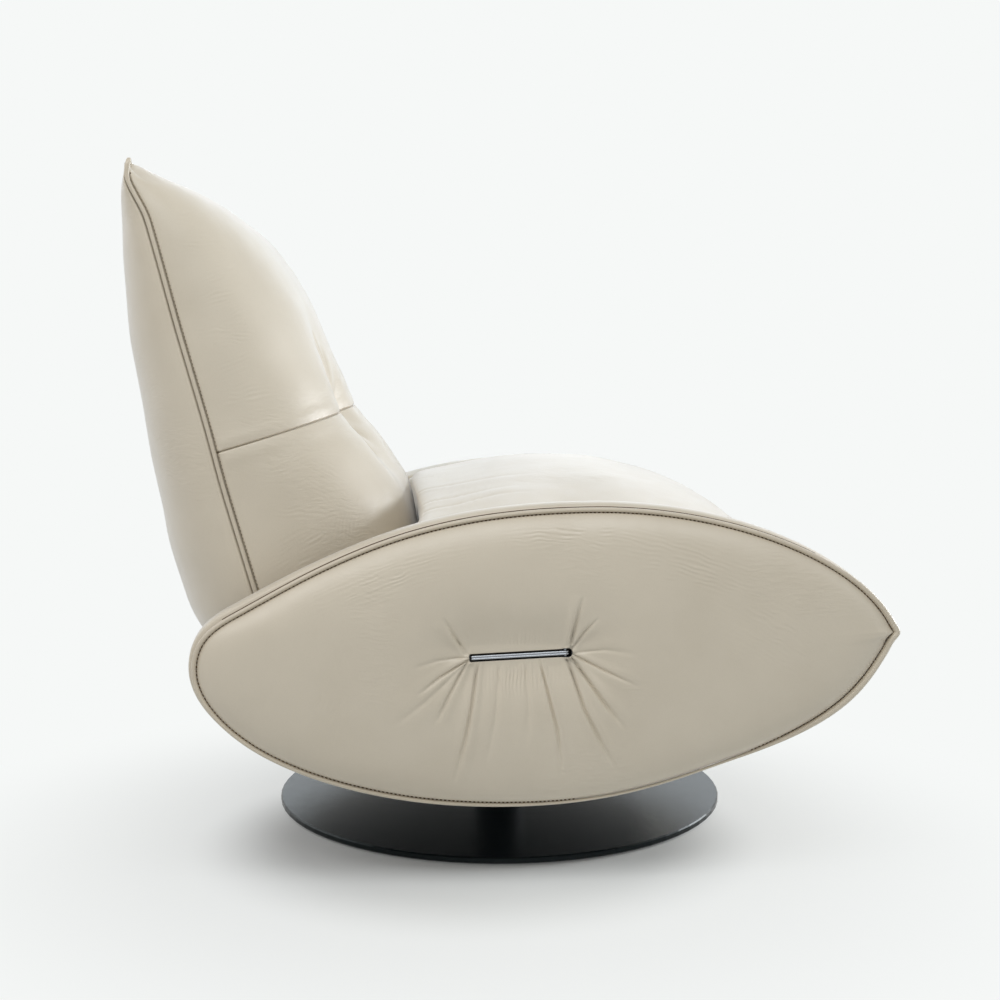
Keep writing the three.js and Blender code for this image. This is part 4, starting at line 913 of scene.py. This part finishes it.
def back_edge(side, top, tip, corner):
    """Path inside the back's edge: up the right side, round the ears and down the left side."""
    up = np.linspace(-10, BACK["height"] + tip - corner, 300)
    right = np.stack([up, side - back_half(up)], axis=1)
    turn = np.linspace(0, math.pi / 2, 30)[1:]
    ear = right[-1] + corner * np.stack([np.sin(turn), 1 - np.cos(turn)], axis=1)
    across = np.linspace(ear[-1, 1], 0, 200)[1:]
    # the ears stand up as small horns above the line between them
    fall = (tip + top) * (1 - bell(across - ear[-1, 1], EAR_HORN))
    one = np.concatenate([right, ear, np.stack([ear[-1, 0] - fall, across], axis=1)])
    return np.concatenate([one, one[-2::-1] * (1, -1)])


def back_row(label, outward, rise, highest, length):
    """A row of stitches beside the back's welt, a rise above the seam on the stuffed face."""
    line = back_edge(EDGE_ROOM, 1.2, -1.2, 12)
    s, y = even(line, int(steps_of(line).sum() / BACK_PITCH)).T
    knots, material = (FRONT_KNOTS, THREAD) if outward > 0 else (REAR_KNOTS, WELT)
    depth = edge_depth(s)
    full = np.maximum(smoother_knots(knots, s, 9.0) - outward * depth, rise)
    a = (1 - (rise / full) ** (1 / BACK["round"])) ** (1 / BACK["square"])
    surface = a * (back_half(s) - EDGE_ROOM) - DRAWN_IN * bell(rise - 2, 2.4)
    y = np.where(np.abs(y) > back_half(s) - 14, np.sign(y) * surface, y)
    places = back_point(s, y, depth + outward * rise, back_half(s))
    along = unit(np.gradient(places, axis=0), 1e-9)
    normals = OUT * outward * 0.4 + np.sign(y + 1e-6)[:, None] * (0, 1, 0)
    normals = unit(normals - along * np.sum(normals * along, axis=1)[:, None])
    keep = s < highest
    stitch_piece(f"back_stitches_{label}", places[keep], along[keep], normals[keep],
                 length, BACK_THREAD, material, "back")


def back_welt():
    s, y = even(back_edge(2.8, 1.5, -0.4, 8), 1100).T
    horn = bell(np.hypot(s - BACK["height"], np.abs(y) - back_half(s)), EAR_HORN)
    path = back_point(np.minimum(s, BACK["height"]), y, edge_depth(s) + 3 * horn, back_half(s))
    path += np.maximum(s - BACK["height"], 0)[:, None] * UP
    tube_piece("back_piping", path, WELT_RADIUS + 0.7 * horn, 14, WELT, "back", ("back_welt",), over=OUT)


back_front()
back_rear()
back_welt()
for row in BACK_ROWS:
    back_row(*row)


# Lever

def lever_grip():
    """Polished bar with two rounded beads and a dark groove between them."""
    left, pivot, boss, depth, front, corner, bead = -55.6, 50.0, 5.6, 9.0, -2.0, 0.6, 1.25
    angle = math.radians(LEVER["tilt"])
    centre = front + boss + 0.4
    quarter = np.linspace(0, math.pi / 2, 5)
    plan = [(left + corner * (1 - math.cos(t)), front + corner * (1 - math.sin(t))) for t in quarter]
    plan += [(x, front) for x in np.linspace(left + 2, pivot, 40)]
    plan += [(pivot + boss * math.cos(t), centre + boss * math.sin(t))
             for t in np.linspace(-math.pi / 2, math.pi / 2, 24)[1:]]
    plan += [(x, depth) for x in np.linspace(pivot - 3, left + corner, 30)]
    plan = even(np.array(plan + plan[:1]), 220)
    rings = []
    for z in np.concatenate([np.linspace(-2 * bead, 0, 12)[:-1], np.linspace(0, 2 * bead, 12)]):
        off = z - math.copysign(bead, z if z else 1)
        draw = min(bead - math.sqrt(max(bead ** 2 - off ** 2, 0)), 1.2)
        xy = inset(plan, draw)
        x = LEVER["x"] + xy[:, 0] * math.cos(angle) - z * math.sin(angle)
        height = LEVER["z"] + xy[:, 0] * math.sin(angle) + z * math.cos(angle)
        rings.append(np.stack([x, xy[:, 1] - WELT_PLANE - LEVER["proud"], height], axis=1))
    points, faces = closed_grid(rings)
    piece("lever_grip", points, faces, CHROME, "lever", ("lever_bar",))


lever_grip()


# Seat and springs

def seat_cushion():
    rows, columns = ((260, 260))
    wall = rows // 6
    # the rows lie close together on the steep rear wall
    x = np.concatenate([
        np.linspace(-235, -134, wall // 3), np.linspace(-132, -96, wall),
        np.linspace(-94, 430, rows - wall - wall // 3)])
    ahead = way(x, -100, 30)
    top = smoother_knots(SEAT_TOP, x, 10.0) * ahead + smoother_knots(SEAT_TOP, x, 2.5) * (1 - ahead)
    drop = smooth_knots(SEAT_DROP, x)
    bottom = box("seat_cushion")[0][2]
    half = SEAT_HALF + (NOSE_HALF - SEAT_HALF) * way(x, 300, 36)
    X, A = np.meshgrid(x, -np.cos(np.linspace(0, math.pi, columns)), indexing="ij")
    Y = A * half[:, None]
    relief = 0.9 * noise(X / 120, Y / 90, 2) + 0.3 * noise(X / 40, Y / 34, 12)
    for cx, cy, angle in SEAT_CREASES:
        relief += crease_patch(X, Y, cx, cy, 90, 20, angle, 6.5, 0.42, cx + cy)
    for y, lean, length in SEAT_FOLDS:
        relief += fold(X, Y, [(-90, y), (-90 + length, y + lean)], 0.45, 4.0, 1.5)
    Z = top[:, None] - drop[:, None] * A ** 2 + relief * way(1 - np.abs(A), 0, 1 / 8)
    Z = np.maximum(Z, bottom + 4)
    # in the middle the wall leans along the back's bulging face
    step = smooth_knots(SEAT_STEP, np.abs(Y))
    step += SEAT_LEAN * way(Z, 390, 58) ** 1.6 * np.clip(1 - (Y / 280) ** 2, 0, 1)
    # the top's rear and the wall move back, the tail under the back cushion stays
    step *= smoothstep(way(-X, 20, 75) * way(Z, bottom + 14, 50))
    upper = np.stack([X - step, Y, Z], axis=-1)
    base = np.stack([X, Y * 0.985, np.full_like(X, bottom)], axis=-1)
    cushion_piece("seat_pad", upper, base, 20, "seat", ("seat_cushion",))


def rocker_springs():
    """Coil springs between the turning plate and the rocking frame."""
    turns, steps, wire, radius, low_end, high_end = 6, 24, 2.6, 17.0, 8, 4
    t = np.linspace(0, turns * FULL_TURN, turns * steps)
    for end in ("front", "rear"):
        for side in ("right", "left"):
            name = f"rocker_spring_{end}_{side}"
            low, high = box(name)
            x, y = ((low + high) / 2)[:2]
            rise = np.linspace(low[2] + wire, high[2] - wire, len(t))
            path = np.stack([x + radius * np.cos(t), y + radius * np.sin(t), rise], axis=1)
            spring = tube_piece(f"coil_spring_{end}_{side}", path, wire, 10, SPRING, None, (name,),
                                over=(0.0, 0.0, 1.0))
            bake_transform(spring)


seat_cushion()
rocker_springs()


# Footrest and apron

def banded(name, outer, inner, edge_round, body, node):
    """A padded band that stands for a node: two lines in the side view, carried across its width."""
    half = box(node)[1][1] - SIDE_GAP
    rings = []
    middle = (outer + inner) / 2
    turn = np.linspace(0, math.pi, 9)[1:-1, None]
    # cross-section: along the outer line, round the end, back along the inner line, round the start
    for share in -np.cos(np.linspace(0, math.pi, 81)):
        keep = 0.25 + 0.75 * max(1 - abs(share) ** 10, 0.0) ** 0.5
        a = middle + (outer - middle) * keep
        b = middle + (inner - middle) * keep
        ends = []
        for p, q, along in ((a[-1], b[-1], a[-1] - a[-2]), (b[0], a[0], a[0] - a[1])):
            r = (p - q) / 2
            bow = unit(along) * size(r) * edge_round
            ends.append((p + q) / 2 + r * np.cos(turn) + bow * np.sin(turn))
        rings.append(in_space(np.concatenate([a, ends[0], b[::-1], ends[1]]), share * half))
    points, faces = closed_grid(rings)
    if body == "footrest":
        x, y = points[:, 0], points[:, 1]
        points[:, 2] += 0.35 * noise(x / 24, y / 26, 71) * bell(y, 300)
    piece(name, points, faces, LEATHER, body, (node,))


def footrest_pad():
    """The pad follows the arm's underside, lifted by two distances."""
    count = 60
    full = side_outline(2400)
    inside = (full[:1200, 0] > FOOTREST_X[0]) & (full[:1200, 0] < FOOTREST_X[1])
    lines = (inset(full, lift)[:1200][inside] for lift in FOOTREST_LIFT)
    outer, inner = (even(np.concatenate([line, line[-1:]]), count) for line in lines)
    outer += unit(outer - inner) * np.sin(math.pi * np.linspace(0, 1, count))[:, None] ** 0.5
    # clear of the hinge that the footrest turns about
    for line in (outer, inner):
        away = line - HINGE
        far = size(away)[:, None]
        line += away / far * np.maximum(HINGE_CLEAR - far, 0)
    banded("footrest_cover", outer, inner, 0.7, "footrest", "footrest_pad")


def back_apron():
    ray = circle(np.radians(np.linspace(*APRON_ANGLES, 40)))
    outer, inner = (APRON_CENTRE + ray * radius for radius in APRON_RADII)
    banded("back_skirt", outer, inner, 0.8, "back", "back_apron")


footrest_pad()
back_apron()


# Floor, light and camera

PALE = (*linear(246, 248, 247), 1)
WORLD_LIGHT = 0.32
WORLD_COLOUR = (1.0, 0.98, 0.968, 1)
# name, place, aim, size, power, colour
LIGHTS = [
    ("rear", (0.0, 2.8, 1.7), (0.0, 0.0, 0.4), (3.2, 1.8), 21.5, (0.78, 0.89, 1.0)),
    ("left_rear", (-2.6, 1.2, 1.5), (0.0, 0.0, 0.4), (2.0, 1.6), 5, (1.0, 1.0, 1.0)),
    ("high_front", (0.1, -1.7, 2.5), (0.0, -0.2, 0.3), (2.4, 1.2), 27.4, (0.95, 0.98, 1.0)),
    ("high_left", (-1.9, -1.2, 2.2), (0.0, -0.1, 0.3), (1.6, 1.2), 15.7, (1.0, 0.965, 0.955)),
    ("right_low", (2.6, 0.9, 0.9), (0.0, 0.0, 0.5), (1.6, 1.2), 51.5, (0.937, 0.967, 1.0)),
]
# painted shadow: in an ellipse round the foot the floor keeps its diffuse shader, which also catches the real
# shadow, and over these ranges of distance in the ellipse it fades to the plain pale glow
SHADOW_FADES = [(0.6, 1.02, 0.08, 0.64), (0.85, 2.2, 0.0, 0.36)]
SHADOW_ELLIPSE = {"Location": (-0.04, -0.19, 0), "Scale": (0.36, 0.34, 1)}
FLOOR_COLOUR = (0.77, 0.785, 0.775, 1)
FLOOR_SIZE = 30.0
FLOOR_SINK = -0.0002
CAMERA_PLACE = (-0.134, -2.028, 0.615)
CAMERA_TILT = 90 - 5.833
CAMERA_TURN = -3.8


def looked_at(tree):
    """1 for camera, glossy and transmission rays."""
    path = add(tree, "LightPath").outputs
    seen = math_node(tree, "MAXIMUM", path["Is Camera Ray"], path["Is Glossy Ray"])
    return math_node(tree, "MAXIMUM", seen, path["Is Transmission Ray"])


def mixed(tree, share, first, second):
    return add(tree, "MixShader", {"Fac": share, 1: first.outputs[0], 2: second.outputs[0]}).outputs[0]


def floor_material():
    material, tree, coords = new_material("floor_white_painted_shadow")
    diffuse = add(tree, "BsdfDiffuse", {"Color": FLOOR_COLOUR})
    glow = add(tree, "Emission", {"Color": PALE})
    # distance in the painted shadow's ellipse round the foot, drawn a little forward
    scaled = add(tree, "Mapping", {"Vector": coords, **SHADOW_ELLIPSE}, vector_type="TEXTURE")
    distance = add(tree, "VectorMath", {0: scaled.outputs[0]}, operation="LENGTH").outputs["Value"]
    ends = ("From Min", "From Max", "To Min", "To Max")
    near, far = (
        add(tree, "MapRange", {"Value": distance, **dict(zip(ends, fade))}, interpolation_type="SMOOTHSTEP")
        .outputs["Result"] for fade in SHADOW_FADES)
    # the pale glow's share grows outwards, so the floor is painted darker near the foot
    share = math_node(tree, "MULTIPLY", math_node(tree, "ADD", near, far), looked_at(tree))
    add(tree, "OutputMaterial", {"Surface": mixed(tree, share, diffuse, glow)})
    return material


def stage():
    mesh = bpy.data.meshes.new("floor")
    corners = [(x * FLOOR_SIZE, y * FLOOR_SIZE, 0) for x, y in ((-1, -1), (1, -1), (1, 1), (-1, 1))]
    mesh.from_pydata(corners, [], [(0, 1, 2, 3)])
    mesh.materials.append(floor_material())
    floor = placed("floor", mesh)
    floor.location.z = FLOOR_SINK
    world = bpy.data.worlds.new("studio")
    bpy.context.scene.world = world
    tree = empty_tree(world)
    seen = add(tree, "Background", {"Color": PALE})
    lit = add(tree, "Background", {"Color": WORLD_COLOUR, "Strength": WORLD_LIGHT})
    add(tree, "OutputWorld", {"Surface": mixed(tree, looked_at(tree), lit, seen)})


def area(name, place, aim, size, power, colour):
    light = bpy.data.lights.new(name, "AREA")
    light.shape = "RECTANGLE"
    light.size, light.size_y = size
    light.energy = power
    light.color = colour
    lamp = placed(name, light)
    lamp.location = place
    lamp.visible_camera = False
    direction = Vector(aim) - Vector(place)
    lamp.rotation_euler = direction.to_track_quat("-Z", "Y").to_euler()


stage()
for lamp in LIGHTS:
    area(*lamp)

camera = bpy.data.cameras.new("camera")
camera.sensor_width = 36
camera.lens = 54
camera_obj = placed("camera", camera)
camera_obj.location = CAMERA_PLACE
camera_obj.rotation_euler = Euler((math.radians(CAMERA_TILT), 0, math.radians(CAMERA_TURN)))
bpy.context.scene.camera = camera_obj
bpy.context.scene.view_settings.view_transform = "Standard"
